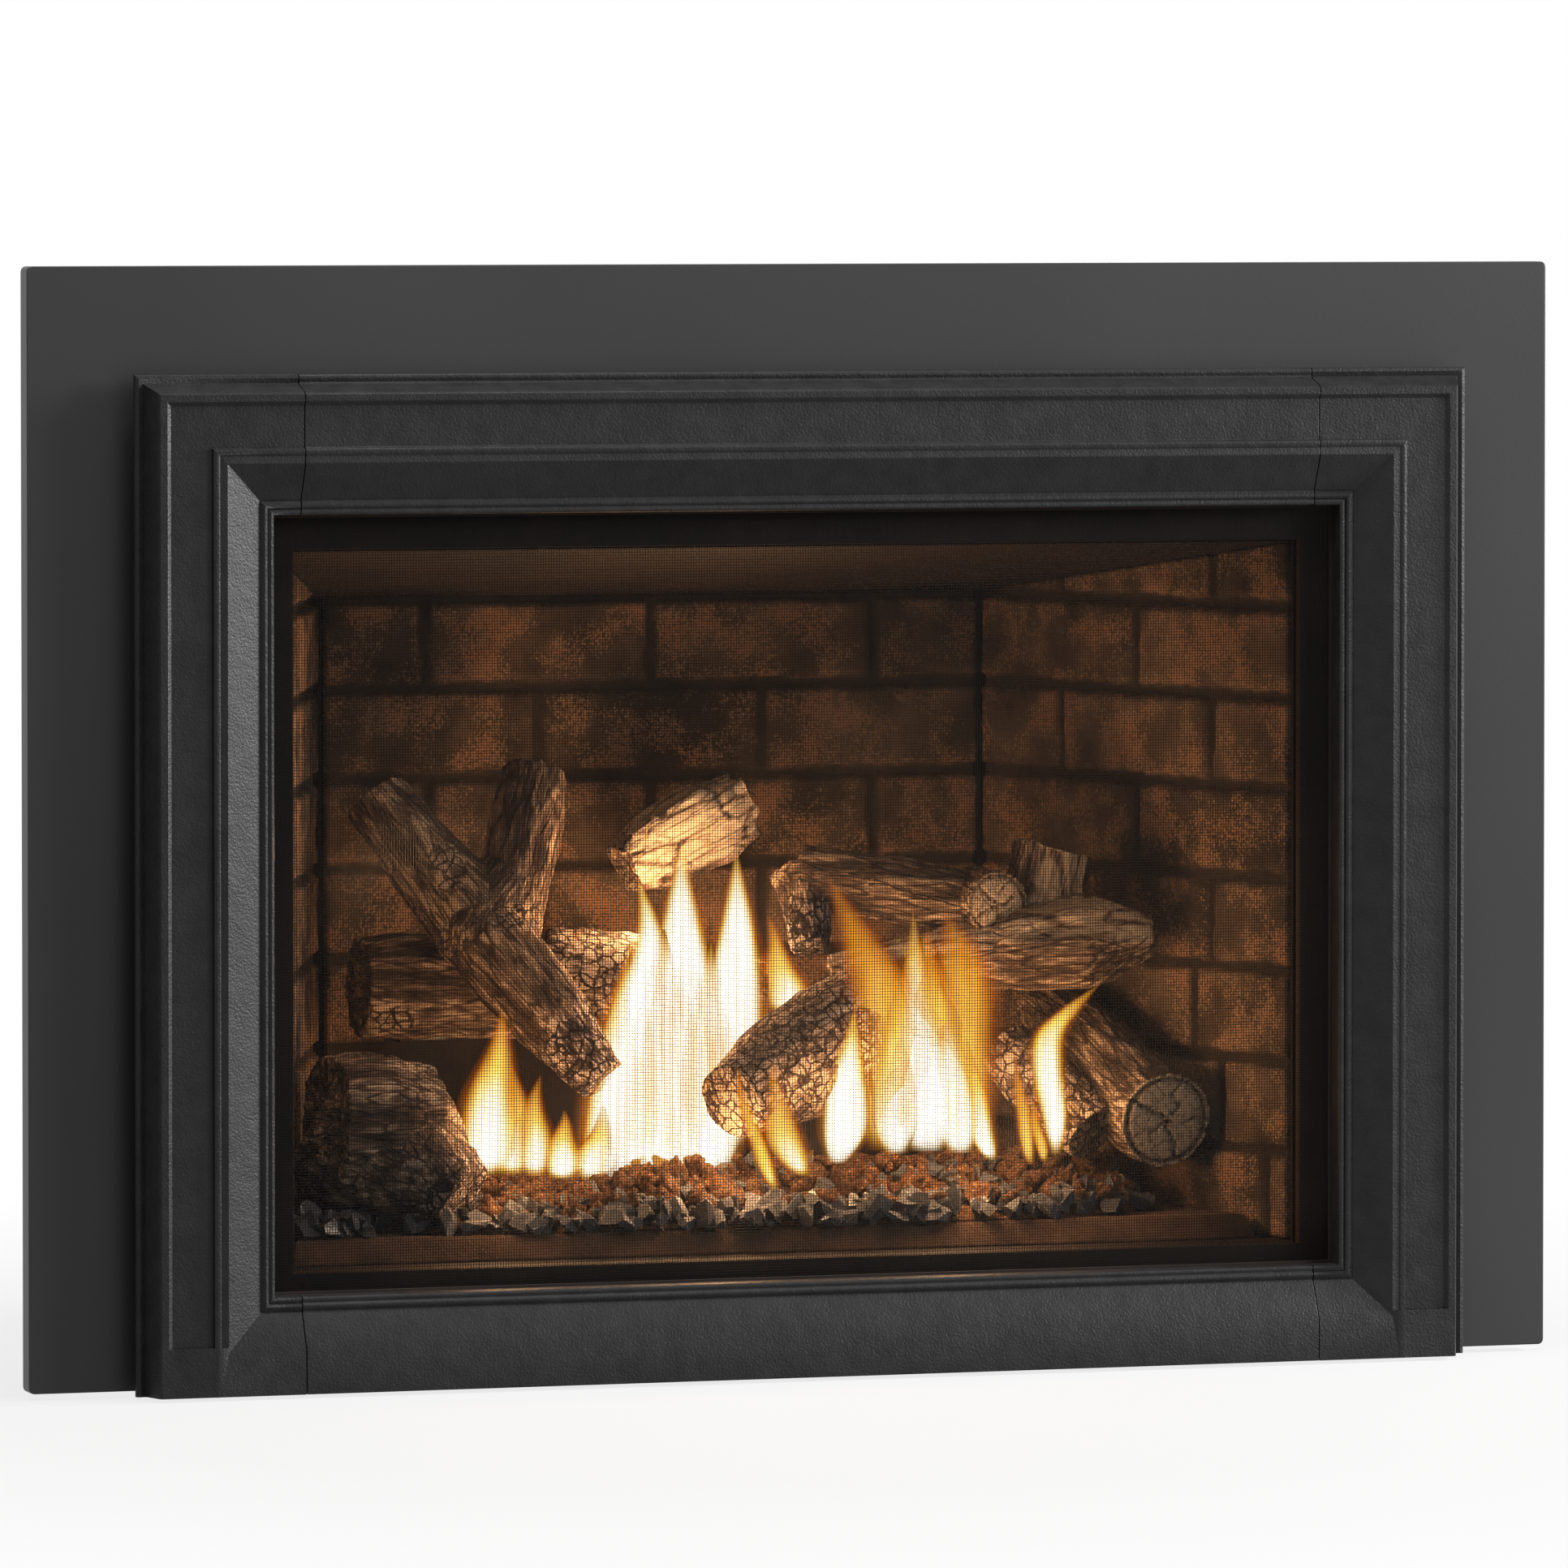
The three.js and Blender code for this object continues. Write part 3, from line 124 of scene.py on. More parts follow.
# ------------------------------
# Firebox: wrap, top, floor, front frame, the sloped baffle and the rear log shelf.
# Steel sheet sprayed with matt black heat-proof paint, folded, screwed together in the casing.
# ------------------------------

# Heat-proof paint: a dry, flat film with brown scorching in patches and a fine sprayed grain.
stove_paint, tree, shader, at = finish("heat_proof_black_paint", Roughness=0.76, Specular_IOR_Level=0.15)
patch = add(tree, "TexNoise", {"Vector": at, "Scale": 9.0, "Detail": 5.0, "Roughness": 0.6})
tone = add(tree, "ValToRGB", {"Fac": patch},
           stops=[(0.3, "#12100f"), (0.72, "#261d18")])
grain = add(tree, "TexNoise", {"Vector": at, "Scale": 520.0, "Detail": 2.0})
bump = add(tree, "Bump", {"Height": grain, "Strength": 0.35, "Distance": 0.0003})
feed(shader, {"Base Color": tone, "Normal": bump})
dress(["firebox_wrap", "firebox_top", "firebox_floor", "firebox_front_frame", "baffle",
       "rear_log_shelf"], stove_paint, 0.5)

# ------------------------------
# Brick panels: left, right and rear. Vacuum-formed ceramic fibre boards moulded from old brick,
# 20 mm thick, sponged with brown paint and dry-brushed with tan; they stand loose in the box.
# ------------------------------

BRICK_JOINT = 9.0
FIRST_COURSE = 84.3
COURSE_PITCH = 69.9
COURSES = 9
BRICK_LENGTH = 184.0
PANEL_DEPTH = 19.4
PANEL_FOOT = 87.6
PANEL_HEAD = 610
PANEL_STEP = 3.0
JOINT_DEPTH = 5.2
BRICK_RISE = 4.2
WALL_FRONT = 31.0
BAFFLE_FRONT_TOP = 623.2
BAFFLE_SLOPE = 47.4 / 347
# Upright joints that the photograph's courses show, from the front edge of the right wall.
RIGHT_JOINTS = {0: (24, 208), 1: (79, 263), 2: (113, 297), 3: (92, 276), 4: (184,), 5: (92, 277),
                6: (184,), 7: (92, 277)}


def cell_number(cells, primes):
    """A number between 0 and 2 ** 32 for each cell, always the same one."""
    h = (cells[:, 0] * primes[0] ^ cells[:, 1] * primes[1] ^ cells[:, 2] * primes[2]) & 0xFFFFFFFF
    return ((h ^ (h >> 15)) * 2246822519) & 0xFFFFFFFF


def grain_noise(points, size, seed=0):
    """Smooth random relief, -1 to 1, at points in mm; `size` is one grain in mm, or three sizes."""
    p = points / np.asarray(size, float) + seed * 17.31
    cell = np.floor(p).astype(np.int64)
    part = p - cell
    part = part * part * (3 - 2 * part)
    total = np.zeros(len(p))
    for corner in np.ndindex(2, 2, 2):
        c = cell + corner
        h = cell_number(c, (73856093, 19349663, 83492791))
        h = ((h ^ (h >> 13)) * 3266489917) & 0xFFFFFFFF
        value = ((h ^ (h >> 16)) & 0xFFFF) / 32767.5 - 1
        total += value * np.prod(np.where(corner, part, 1 - part), axis=1)
    return total


def ease(values, low, high):
    """0 at low, 1 at high, eased between."""
    t = np.clip((values - low) / (high - low), 0, 1)
    return t * t * (3 - 2 * t)


def new_piece(name, points, faces, body, stands_for, material, marks=None, smooth=True):
    """One closed piece from points in mm; `marks` are numbers kept at each point for its material."""
    mesh = bpy.data.meshes.new(name)
    mesh.from_pydata(np.asarray(points, float) / 1000, [], faces)
    kinds = {1: ("FLOAT", "value"), 3: ("FLOAT_VECTOR", "vector"), 4: ("FLOAT_COLOR", "color")}
    for mark, values in (marks or {}).items():
        kind, field = kinds[np.size(values) // len(points)]
        data = mesh.attributes.new(mark, kind, "POINT").data
        data.foreach_set(field, np.ravel(values).astype(np.float32))
    work = bmesh.new()
    work.from_mesh(mesh)
    bmesh.ops.recalc_face_normals(work, faces=work.faces)
    work.to_mesh(mesh)
    work.free()
    mesh.polygons.foreach_set("use_smooth", [smooth] * len(mesh.polygons))
    mesh.materials.append(material)
    piece = bpy.data.objects.new(name, mesh)
    bpy.context.scene.collection.objects.link(piece)
    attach(piece, body)
    if stands_for:
        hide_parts(*stands_for)
    return piece


def slab(front, back):
    """Points and faces of a closed slab: a grid of front points, and a plain back on its rim."""
    rows, columns = front.shape[:2]
    number = np.arange(rows * columns).reshape(rows, columns)
    corners = (number[:-1, :-1], number[1:, :-1], number[1:, 1:], number[:-1, 1:])
    faces = np.stack(corners, -1).reshape(-1, 4).tolist()
    rim = np.concatenate([number[:, 0], number[-1, 1:], number[-2::-1, -1], number[0, -2:0:-1]])
    low = rows * columns
    points = np.concatenate([front.reshape(-1, 3), back.reshape(-1, 3)[rim]])
    count = len(rim)
    faces += [[rim[i], rim[(i + 1) % count], low + (i + 1) % count, low + i] for i in range(count)]
    faces.append([low + i for i in range(count)])
    return points, faces


# Moulded fibre brick: earth-brown face with tan and rust specks where the sponge caught the
# high spots, and dull grey-olive mortar in the joints.
brick_board, tree, shader, at = finish("painted_fibre_brick", Roughness=0.93, Specular_IOR_Level=0.15)
on_brick, each = [add(tree, "Attribute", attribute_name=mark).outputs["Fac"] for mark in ("brick", "tone")]
cloud = add(tree, "TexNoise", {"Vector": at, "Scale": 22.0, "Detail": 3.0, "Roughness": 0.6})
mixed = add(tree, "Math", {0: cloud, 1: each}, operation="ADD")
base = add(tree, "ValToRGB", {"Fac": mixed},
           stops=[(0.3, "#2f2820"), (0.8, "#675645"), (0.55, "#483c30")])
speck = add(tree, "TexNoise", {"Vector": at, "Scale": 420.0, "Detail": 4.0, "Roughness": 0.7})
spread = add(tree, "TexNoise", {"Vector": at, "Scale": 26.0, "Detail": 3.0})
both = add(tree, "Math", {0: speck, 1: spread}, operation="MULTIPLY")
worn = add(tree, "MapRange", {"Value": both, "From Min": 0.24, "From Max": 0.34}, clamp=True)
tint = add(tree, "ValToRGB", {"Fac": spread},
           stops=[(0.42, "#a08a69"), (0.62, "#8f6d50")])
worn_part = add(tree, "Math", {0: worn, 1: 0.7}, operation="MULTIPLY")
face = add(tree, "Mix", {0: worn_part, 6: base, 7: tint},
           data_type="RGBA")
joint = add(tree, "ValToRGB", {"Fac": cloud}, stops=[(0.3, "#231d17"), (0.7, "#332b22")])
whole = add(tree, "Mix", {0: on_brick, 6: joint, 7: face.outputs[2]}, data_type="RGBA")
bump = add(tree, "Bump", {"Height": speck, "Strength": 0.7, "Distance": 0.0012})
feed(shader, {"Base Color": whole.outputs[2], "Normal": bump})


def brick_panel(name, node, start, along, length, joints_of, lining, seed):
    """One moulded board: bricks proud of worn joints, its top cut to the slope of the baffle."""
    along = np.array(along) / math.hypot(*along)
    into_room = np.array([along[1], -along[0]]) * (1 if start[0] < 0 else -1)
    if abs(along[0]) > 0.9:
        into_room = np.array([0.0, -1.0])
    u = np.linspace(0, length, int(length / PANEL_STEP) + 1)
    high = int((PANEL_HEAD - PANEL_FOOT) / PANEL_STEP) + 1
    plan = np.array(start)[None] + along[None] * u[:, None]
    top = np.minimum(BAFFLE_FRONT_TOP - BAFFLE_SLOPE * (plan[:, 1] - WALL_FRONT), lining)
    z = PANEL_FOOT + (top[:, None] - PANEL_FOOT) * np.linspace(0, 1, high)[None]
    flat_u, flat_z = np.repeat(u, high), z.ravel()
    spot = np.stack([flat_u, flat_z, np.zeros_like(flat_u)], 1)
    course = np.floor((flat_z - FIRST_COURSE) / COURSE_PITCH).astype(int)
    local = flat_z - FIRST_COURSE - course * COURSE_PITCH
    sideways = np.full(len(flat_u), 1e3)
    number = np.zeros(len(flat_u), int)
    for index in range(COURSES):
        here = course == index
        for joint_u in joints_of(index):
            sideways[here] = np.minimum(sideways[here], np.abs(flat_u[here] - joint_u))
            number[here] += flat_u[here] > joint_u
    wander = grain_noise(spot, 30, seed) * 0.9 + grain_noise(spot, 7, seed + 1) * 0.8
    inside = np.minimum(np.minimum(local, COURSE_PITCH - local), sideways) - BRICK_JOINT / 2 + wander
    brick = ease(inside, -0.8, 2.0)
    own = np.sin(number * 12.9 + course * 7.7 + seed) * 0.5 + np.cos(number * 4.1 - course * 2.3) * 0.5
    rough = grain_noise(spot, 17, seed + 2) * 0.9 + grain_noise(spot, 6.5, seed + 3) * 0.75 \
        + grain_noise(spot, 46, seed + 4) * 0.9
    depth = -JOINT_DEPTH + brick * (BRICK_RISE + own * 0.6) + rough * (0.3 + 0.7 * brick)
    front = np.empty((len(u), high, 3))
    back = np.empty_like(front)
    for i in (0, 1):
        front[..., i] = plan[:, None, i] + into_room[i] * depth.reshape(len(u), high)
        back[..., i] = plan[:, None, i] - into_room[i] * PANEL_DEPTH
    front[..., 2] = back[..., 2] = z
    rim = np.zeros(2 * (len(u) + high) - 4)
    marks = {"brick": np.concatenate([brick, rim]), "tone": np.concatenate([own * 0.14, rim])}
    points, faces = slab(front, back)
    new_piece(name, points, faces, "insert", [node], brick_board, marks)


brick_panel("brickwork_back", "brick_panel_back", (-266.3, 378.0), (1, 0), 532.6,
            lambda k: [264 + BRICK_LENGTH * (n + (k % 2) / 2) for n in range(-2, 3)], 576.5, 3)
brick_panel("brickwork_left", "brick_panel_left", (-399.0, WALL_FRONT), (125, 347), 388.0,
            lambda k: [BRICK_LENGTH * (n + (k % 2) / 2) for n in range(3)], 700, 11)
brick_panel("brickwork_right", "brick_panel_right", (399.0, WALL_FRONT), (-125, 347), 375.0,
            lambda k: RIGHT_JOINTS.get(k, (BRICK_LENGTH,)), 700, 19)

# ------------------------------
# Burner: the tray of cast refractory that the embers lie on, with its sloped front lip, fed by
# an aluminised steel venturi with a sliding air shutter, and the pipe from the valve.
# ------------------------------

# Refractory: a sandy brown casting, rough to the touch, with pits and scorched patches.
refractory, tree, shader, at = finish("cast_refractory", Roughness=0.95, Specular_IOR_Level=0.15)
patch = add(tree, "TexNoise", {"Vector": at, "Scale": 16.0, "Detail": 6.0, "Roughness": 0.65})
tone = add(tree, "ValToRGB", {"Fac": patch},
           stops=[(0.3, "#2c231c"), (0.75, "#5f4836"), (0.5, "#463629")])
sand = add(tree, "TexNoise", {"Vector": at, "Scale": 240.0, "Detail": 4.0, "Roughness": 0.7})
bump = add(tree, "Bump", {"Height": sand, "Strength": 0.9, "Distance": 0.0016})
feed(shader, {"Base Color": tone, "Normal": bump})
dress(["burner_tray"], refractory, 2.0, merge=False)

# Aluminised steel: satin grey drawn tube with faint lengthwise die lines and heat tint.
tube_steel, tree, shader, at = finish("aluminised_steel", Metallic=1.0)
lines = add(tree, "TexNoise", {"Vector": at, "Scale": 60.0, "Detail": 3.0})
tone = add(tree, "ValToRGB", {"Fac": lines}, stops=[(0.3, "#7c7a77"), (0.7, "#a19c94")])
gloss = add(tree, "MapRange", {"Value": lines, "To Min": 0.3, "To Max": 0.52})
feed(shader, {"Base Color": tone, "Roughness": gloss})
dress(["burner_venturi", "air_shutter", "burner_pipe", "pilot_assembly"], tube_steel, 0.4)

# ------------------------------
# Log set: ten logs of cast ceramic, coloured by hand. Bark logs carry fibrous furrows, charred
# parts crack into blocks with dry-brushed edges, split logs show pale wood. They lie in place.
# ------------------------------

# One stem is its start, end and radii. `sawn` is the stem whose start is a cut end, `char` the
# stretch along it that the fire has blackened, `scales` how much of it has cracked into blocks,
# `split` how far the bare wood reaches down its sides, `square` how boxy it is, `burnt` how black
# all of it is, and `char_stem` the stem that is blackened towards its end.
LOGS = {
    "cut_log": dict(stems=[((325, 128, 179), (280, 255, 252), (38, 38, 37, 34, 28)),
                           ((327, 100, 176), (323, 146, 184), (38, 38))],
                    sawn=1, burnt=0.1, scales=0.3),
    "left_split_log": dict(stems=[((-314, 160, 190), (-240, 90, 132), (56, 60, 55, 38, 27)),
                                  ((-336, 130, 188), (-256, 136, 184), (50, 54, 46))],
                           char=(0.62, 0.95), scales=0.1, square=0.7),
    "diagonal_log": dict(stems=[((-24, 100, 198), (168, 217, 275), (30, 42, 46, 43, 32))],
                         burnt=0.25, scales=0.9),
    "low_log": dict(slot="char", stems=[((229, 200, 226), (276, 124, 165), (24, 28, 28, 24))],
                    burnt=0.45, scales=1.0),
    "char_log": dict(slot="char", stems=[((-129, 260, 284), (38, 226, 257), (40, 48, 47, 38))],
                     burnt=0.5, scales=1.0),
    "rear_left_log": dict(stems=[((-268, 285, 279), (-131, 285, 276), (38, 40, 40, 38))], scales=0.1),
    "fork_log": dict(stems=[((-250, 300, 425), (-108, 162, 212), (24, 30, 34, 34, 30, 21)),
                            ((-124, 292, 440), (-164, 232, 322), (25, 28, 29, 27)),
                            ((-140, 262, 378), (-188, 230, 325), (22, 28, 30))],
                     char=(0.74, 0.95), scales=0.1),
    "long_log": dict(slot="split_wood", stems=[((92, 214, 292), (333, 148, 316), (9, 18, 26, 34, 37, 17)),
                                               ((252, 190, 318), (268, 196, 382), (26, 32, 31))],
                     split=0.42),
    "elbow_log": dict(stems=[((204, 190, 340), (80, 251, 359), (24, 25, 25, 24)),
                             ((211, 163, 341), (205, 214, 343), (26, 26)),
                             ((82, 253, 361), (77, 217, 307), (24, 19, 15))],
                      sawn=1, char_stem=2, scales=0.1),
    "pale_split_log": dict(slot="split_wood", stems=[((-52, 286, 366), (44, 298, 414), (20, 30, 32, 24)),
                                                     ((-48, 280, 384), (-6, 284, 404), (12, 17, 12)),
                                                     ((6, 284, 402), (46, 290, 424), (16, 22, 18))],
                           split=-0.1, square=0.5),
}
BARK_STEP = 2.0
FIBRE_SQUEEZE = 0.84


def cracked(points, size, seed=0):
    """How far each point is from a crack between random blocks of `size` mm: 0 in the crack."""
    p = points / np.asarray(size, float) + seed * 5.7
    cell = np.floor(p).astype(np.int64)
    nearest = np.full((2, len(p)), 9.0)
    for offset in np.ndindex(3, 3, 3):
        c = cell + np.array(offset) - 1
        h = cell_number(c, (92837111, 689287499, 283923481))
        h = (h ^ (h >> 13)) & 0xFFFFFFFF
        seat = c + np.stack([h & 1023, (h >> 10) & 1023, (h >> 20) & 1023], 1) / 1023.0
        far = np.linalg.norm(p - seat, axis=1)
        closer = far < nearest[0]
        nearest[1] = np.where(closer, nearest[0], np.minimum(nearest[1], far))
        nearest[0] = np.where(closer, far, nearest[0])
    return nearest[1] - nearest[0]


def stem_mesh(start, end, radii, square, sides=28, rings=15):
    """Points and faces of one tapering stem with flat ends."""
    start, end = np.array(start, float), np.array(end, float)
    axis = (end - start) / np.linalg.norm(end - start)
    across = np.cross(axis, (0, 0, 1) if abs(axis[2]) < 0.8 else (0, 1, 0))
    across /= np.linalg.norm(across)
    up = np.cross(across, axis)
    turn = np.linspace(0, 2 * math.pi, sides, endpoint=False)
    wide, tall = [np.sign(v) * np.abs(v) ** square for v in (np.cos(turn), np.sin(turn))]
    points, faces = [], []
    for i, t in enumerate(np.linspace(0, 1, rings)):
        radius = np.interp(t, np.linspace(0, 1, len(radii)), radii)
        centre = start + (end - start) * t
        points += list(centre + radius * (wide[:, None] * across + tall[:, None] * up))
        if i:
            low = (i - 1) * sides
            faces += [[low + k, low + (k + 1) % sides, low + sides + (k + 1) % sides, low + sides + k]
                      for k in range(sides)]
    faces += [list(range(sides))[::-1], [len(points) - sides + k for k in range(sides)]]
    return points, faces


def solid_skin(shapes, step):
    """One even skin over overlapping closed shapes: its points in mm, normals and faces."""
    mesh = bpy.data.meshes.new("skin")
    points, faces = [], []
    for shape_points, shape_faces in shapes:
        faces += [[len(points) + k for k in f] for f in shape_faces]
        points += list(shape_points)
    mesh.from_pydata(np.array(points) / 1000, [], faces)
    holder = bpy.data.objects.new("skin", mesh)
    bpy.context.scene.collection.objects.link(holder)
    remesh = holder.modifiers.new("skin", "REMESH")
    remesh.mode, remesh.voxel_size = "VOXEL", step / 1000
    result = bpy.data.meshes.new_from_object(holder.evaluated_get(bpy.context.evaluated_depsgraph_get()))
    count = len(result.vertices)
    place, normal = np.empty(count * 3), np.empty(count * 3)
    result.vertices.foreach_get("co", place)
    result.vertices.foreach_get("normal", normal)
    skin = [list(f.vertices) for f in result.polygons]
    bpy.data.objects.remove(holder)
    for spare in (result, mesh):
        bpy.data.meshes.remove(spare)
    return place.reshape(-1, 3) * 1000, normal.reshape(-1, 3), skin


# Cast ceramic painted as wood: brown bark with pale fibre tips, drawn lighter on its ridges as painted
# highlight and darker in its furrows as painted shade, soot-black char whose block edges are dry-brushed
# grey, and sanded beige where the wood is split or sawn.
ceramic_log, tree, shader, at = finish("painted_ceramic_log", Roughness=0.9, Specular_IOR_Level=0.2)
relief_shading, burnt, bare, scaly = [add(tree, "Attribute", attribute_name=mark).outputs["Fac"]
                              for mark in ("relief_shading", "burnt", "bare", "scaly")]
cloud = add(tree, "TexNoise", {"Vector": at, "Scale": 30.0, "Detail": 5.0, "Roughness": 0.65})
# Fibres run along each stem: `grain` is the place with the stem's length squeezed six times.
along_grain = add(tree, "Attribute", attribute_name="grain").outputs["Vector"]
fibre = add(tree, "TexNoise", {"Vector": along_grain, "Scale": 0.36, "Detail": 5.0, "Roughness": 0.72})
# Cracks: long ones between plates of bark, and blocks about 10 mm across where it is scorched.
bend = add(tree, "TexNoise", {"Vector": along_grain, "Scale": 0.12, "Detail": 2.0})
bent = add(tree, "VectorMath", {0: bend.outputs["Color"], 1: (7, 7, 7), 2: along_grain},
           operation="MULTIPLY_ADD")
plates = add(tree, "TexVoronoi", {"Vector": bent, "Scale": 0.13}, feature="DISTANCE_TO_EDGE")
warp = add(tree, "TexNoise", {"Vector": at, "Scale": 160.0, "Detail": 2.0})
warped = add(tree, "VectorMath", {0: warp.outputs["Color"], 1: (0.006, 0.006, 0.006), 2: at},
             operation="MULTIPLY_ADD")
blocks = add(tree, "TexVoronoi", {"Vector": warped, "Scale": 105.0}, feature="DISTANCE_TO_EDGE")
gap = add(tree, "Mix", {0: scaly, 2: plates, 3: blocks})
crack = add(tree, "MapRange", {"Value": gap, "From Min": 0.0, "From Max": 0.1}, clamp=True)
# Colour follows the relief: lighter on the ridges as painted highlight, darker in the furrows as painted
# shade.
fibre_and_relief_shading = add(tree, "Math", {0: fibre, 1: 0.9, 2: relief_shading}, operation="MULTIPLY_ADD")
contrast = add(tree, "MapRange", {"Value": scaly, "To Min": 0.16, "To Max": 0.36})
cracks_and_relief_shading = add(tree, "Math", {0: crack, 1: contrast, 2: fibre_and_relief_shading}, operation="MULTIPLY_ADD")
shift = add(tree, "Math", {0: cloud, 1: 0.4, 2: cracks_and_relief_shading}, operation="MULTIPLY_ADD")
bark = add(tree, "ValToRGB", {"Fac": shift},
           stops=[(0.5, "#1c1612"), (1.0, "#ae987c"), (0.78, "#483a2e"), (0.92, "#786552")])
char = add(tree, "ValToRGB", {"Fac": shift},
           stops=[(0.5, "#0f0c0b"), (1.0, "#a5968a"), (0.8, "#2a221e"), (0.93, "#4b3f37")])
wood = add(tree, "ValToRGB", {"Fac": shift},
           stops=[(0.36, "#2e241b"), (0.98, "#c2b299"), (0.56, "#86735d"), (0.76, "#a8957c")])
half = add(tree, "Mix", {0: bare, 6: bark, 7: wood}, data_type="RGBA")
whole = add(tree, "Mix", {0: burnt, 6: half.outputs[2], 7: char}, data_type="RGBA")
rise = add(tree, "Math", {0: crack, 1: 0.7, 2: fibre}, operation="MULTIPLY_ADD")
bump = add(tree, "Bump", {"Height": rise, "Strength": 0.9, "Distance": 0.0022})
feed(shader, {"Base Color": whole.outputs[2], "Normal": bump})


def cast_log(node, log, seed):
    """One log: its stems as one skin, then furrows, blocks and cracks worked into it."""
    stems = log["stems"]
    shapes = [stem_mesh(*stem, log.get("square", 1.0)) for stem in stems]
    points, normals, faces = solid_skin(shapes, BARK_STEP)
    best = np.full(len(points), 1e9)
    along = np.zeros(len(points))
    grain_points = points.copy()
    stem_of = np.zeros(len(points), int)
    for k, (start, end, radii) in enumerate(stems):
        start, end = np.array(start, float), np.array(end, float)
        run = np.linalg.norm(end - start)
        axis = (end - start) / run
        t = (points - start) @ axis / run
        middle = start + axis * (np.clip(t, 0, 1) * run)[:, None]
        thick = np.interp(t, np.linspace(0, 1, len(radii)), radii)
        ratio = np.linalg.norm(points - middle, axis=1) / thick
        mine = ratio < best
        best = np.where(mine, ratio, best)
        along[mine] = t[mine]
        stem_of[mine] = k
        squeezed = points - axis * ((points - start) @ axis * FIBRE_SQUEEZE)[:, None]
        grain_points[mine] = squeezed[mine]
    twist = grain_points + 5 * np.stack([grain_noise(grain_points, 30, seed + k) for k in (1, 2, 3)], 1)
    fibres = 0.6 * (1 - np.abs(grain_noise(twist, 6.5, seed)) * 2) + 0.4 * grain_noise(twist, 3.4, seed + 5)
    furrows = 1 - 2 * np.abs(grain_noise(twist, 15, seed + 6)) ** 0.7
    bark_relief = 1.3 * fibres + 1.3 * furrows
    blocks = grain_noise(points, 9, seed + 13)
    lumps = grain_noise(points, 34, seed + 7) * 2.6 + grain_noise(points, 15, seed + 8) * 1.3
    burnt = np.full(len(points), log.get("burnt", 0.0))
    if "char" in log:
        burnt = ease(along + 0.12 * grain_noise(points, 24, seed + 9), *log["char"]) * (stem_of == 0)
    if "char_stem" in log:
        burnt = ease((stem_of == log["char_stem"]) * along, 0.25, 0.6)
    reach = log.get("scales", 0.0)
    spread = ease(grain_noise(points, 42, seed + 10), 0.5 - 1.5 * reach, 0.75 - 1.5 * reach) * (reach > 0)
    scaly = np.clip(np.maximum(burnt, spread), 0, 1)
    bare = np.zeros(len(points))
    if "split" in log:
        facing = normals[:, 2] * 0.8 - normals[:, 1] * 0.5 + 0.35 * grain_noise(twist, 22, seed + 11)
        split = ease(facing, log["split"], log["split"] + 0.2)
        bare = split * ease(cracked(twist, 26, seed + 2), 0.03, 0.1)
        ledges = np.floor(grain_noise(twist, 20, seed + 14) * 2.2 + 2.2) * 2.4 - 5
        bark_relief = bark_relief * (1 - 0.6 * split) + split * ledges
        furrows = furrows * (1 - split) + split * 0.4
    relief = bark_relief * (1 - scaly) + blocks * 0.9 * scaly
    # How light each point is drawn, following its relief: darker in furrows and low blocks as painted shade,
    # lighter on ridges as painted highlight.
    relief_shade_and_highlight = (0.5 * fibres + 0.5 * furrows) * (1 - scaly) + (0.35 * blocks - 0.25) * scaly
    if "sawn" in log:
        start, end, radii = stems[log["sawn"]]
        axis = np.array(end, float) - start
        axis /= np.linalg.norm(axis)
        arm = points - np.array(start, float)
        on_end = (normals @ -axis > 0.8) & (np.abs(arm @ axis) < 4)
        flat = arm - (arm @ axis)[:, None] * axis
        out = np.linalg.norm(flat, axis=1) / radii[0]
        side = np.cross(axis, (0, 0, 1))
        side /= np.linalg.norm(side)
        angle = np.arctan2(flat @ np.cross(side, axis), flat @ side)
        spokes = np.abs(np.sin(angle * 2.5 + 1.6 * grain_noise(points, 12, seed + 12)))
        rays = ease(spokes * (0.1 + out) * radii[0], 1.5, 4.5)
        ring = ease(np.abs(out - 0.86) * radii[0], 0.6, 2.2)
        face_relief = np.minimum(rays, ring) * 2 - 1
        relief = np.where(on_end, face_relief * 1.2, relief)
        relief_shade_and_highlight = np.where(on_end, face_relief * 0.9 - 0.75, relief_shade_and_highlight)
        bare = np.where(on_end, 0.85, bare)
        burnt = np.where(on_end, 0, burnt)
        scaly = np.where(on_end, 0.7, scaly)
        lumps = np.where(on_end, 0, lumps)
    points = points + normals * (relief + lumps * 0.8 - 0.6)[:, None]
    # The first mark carries the relief colour: painted shade in the furrows and painted highlight on the
    # ridges.
    marks = {"relief_shading": relief_shade_and_highlight * 0.26, "burnt": burnt * 0.95, "scaly": scaly, "bare": bare, "grain": twist}
    new_piece("cast_" + node, points, faces, "insert", [node], ceramic_log, marks)


for seed, (node, log) in enumerate(LOGS.items()):
    cast_log(node, log, 3 + 7 * seed)

# ------------------------------
# Ember bed: crushed charcoal of cast ceramic along the front, tufts of rock wool behind it that
# glow over the burner ports, all heaped by hand on the tray up to the logs.
# ------------------------------

TRAY_TOP = 105.6
HEAP_HALF = 331.0
HEAP_FRONT, HEAP_BACK = 64.0, 224.6
HEAP_GRID = (200, 60)
HEAP_PROFILE = [(0, 3), (7, 8), (48, 18), (97, 34), (121, 44), (161, 41)]


def heap_edge(x):
    """Y of the heap's front edge at x: it draws back towards both ends."""
    return HEAP_BACK - (HEAP_BACK - HEAP_FRONT) * (1 - np.clip(np.abs(x) / HEAP_HALF, 0, 1) ** 4) ** 0.25


def heap_top(x, y):
    """Z of the heap at x and y, without its small lumps."""
    x, y = np.asarray(x, float), np.asarray(y, float)
    run = np.clip(y - heap_edge(x), 0, None)
    return TRAY_TOP + np.interp(run, [p[0] for p in HEAP_PROFILE], [p[1] for p in HEAP_PROFILE])


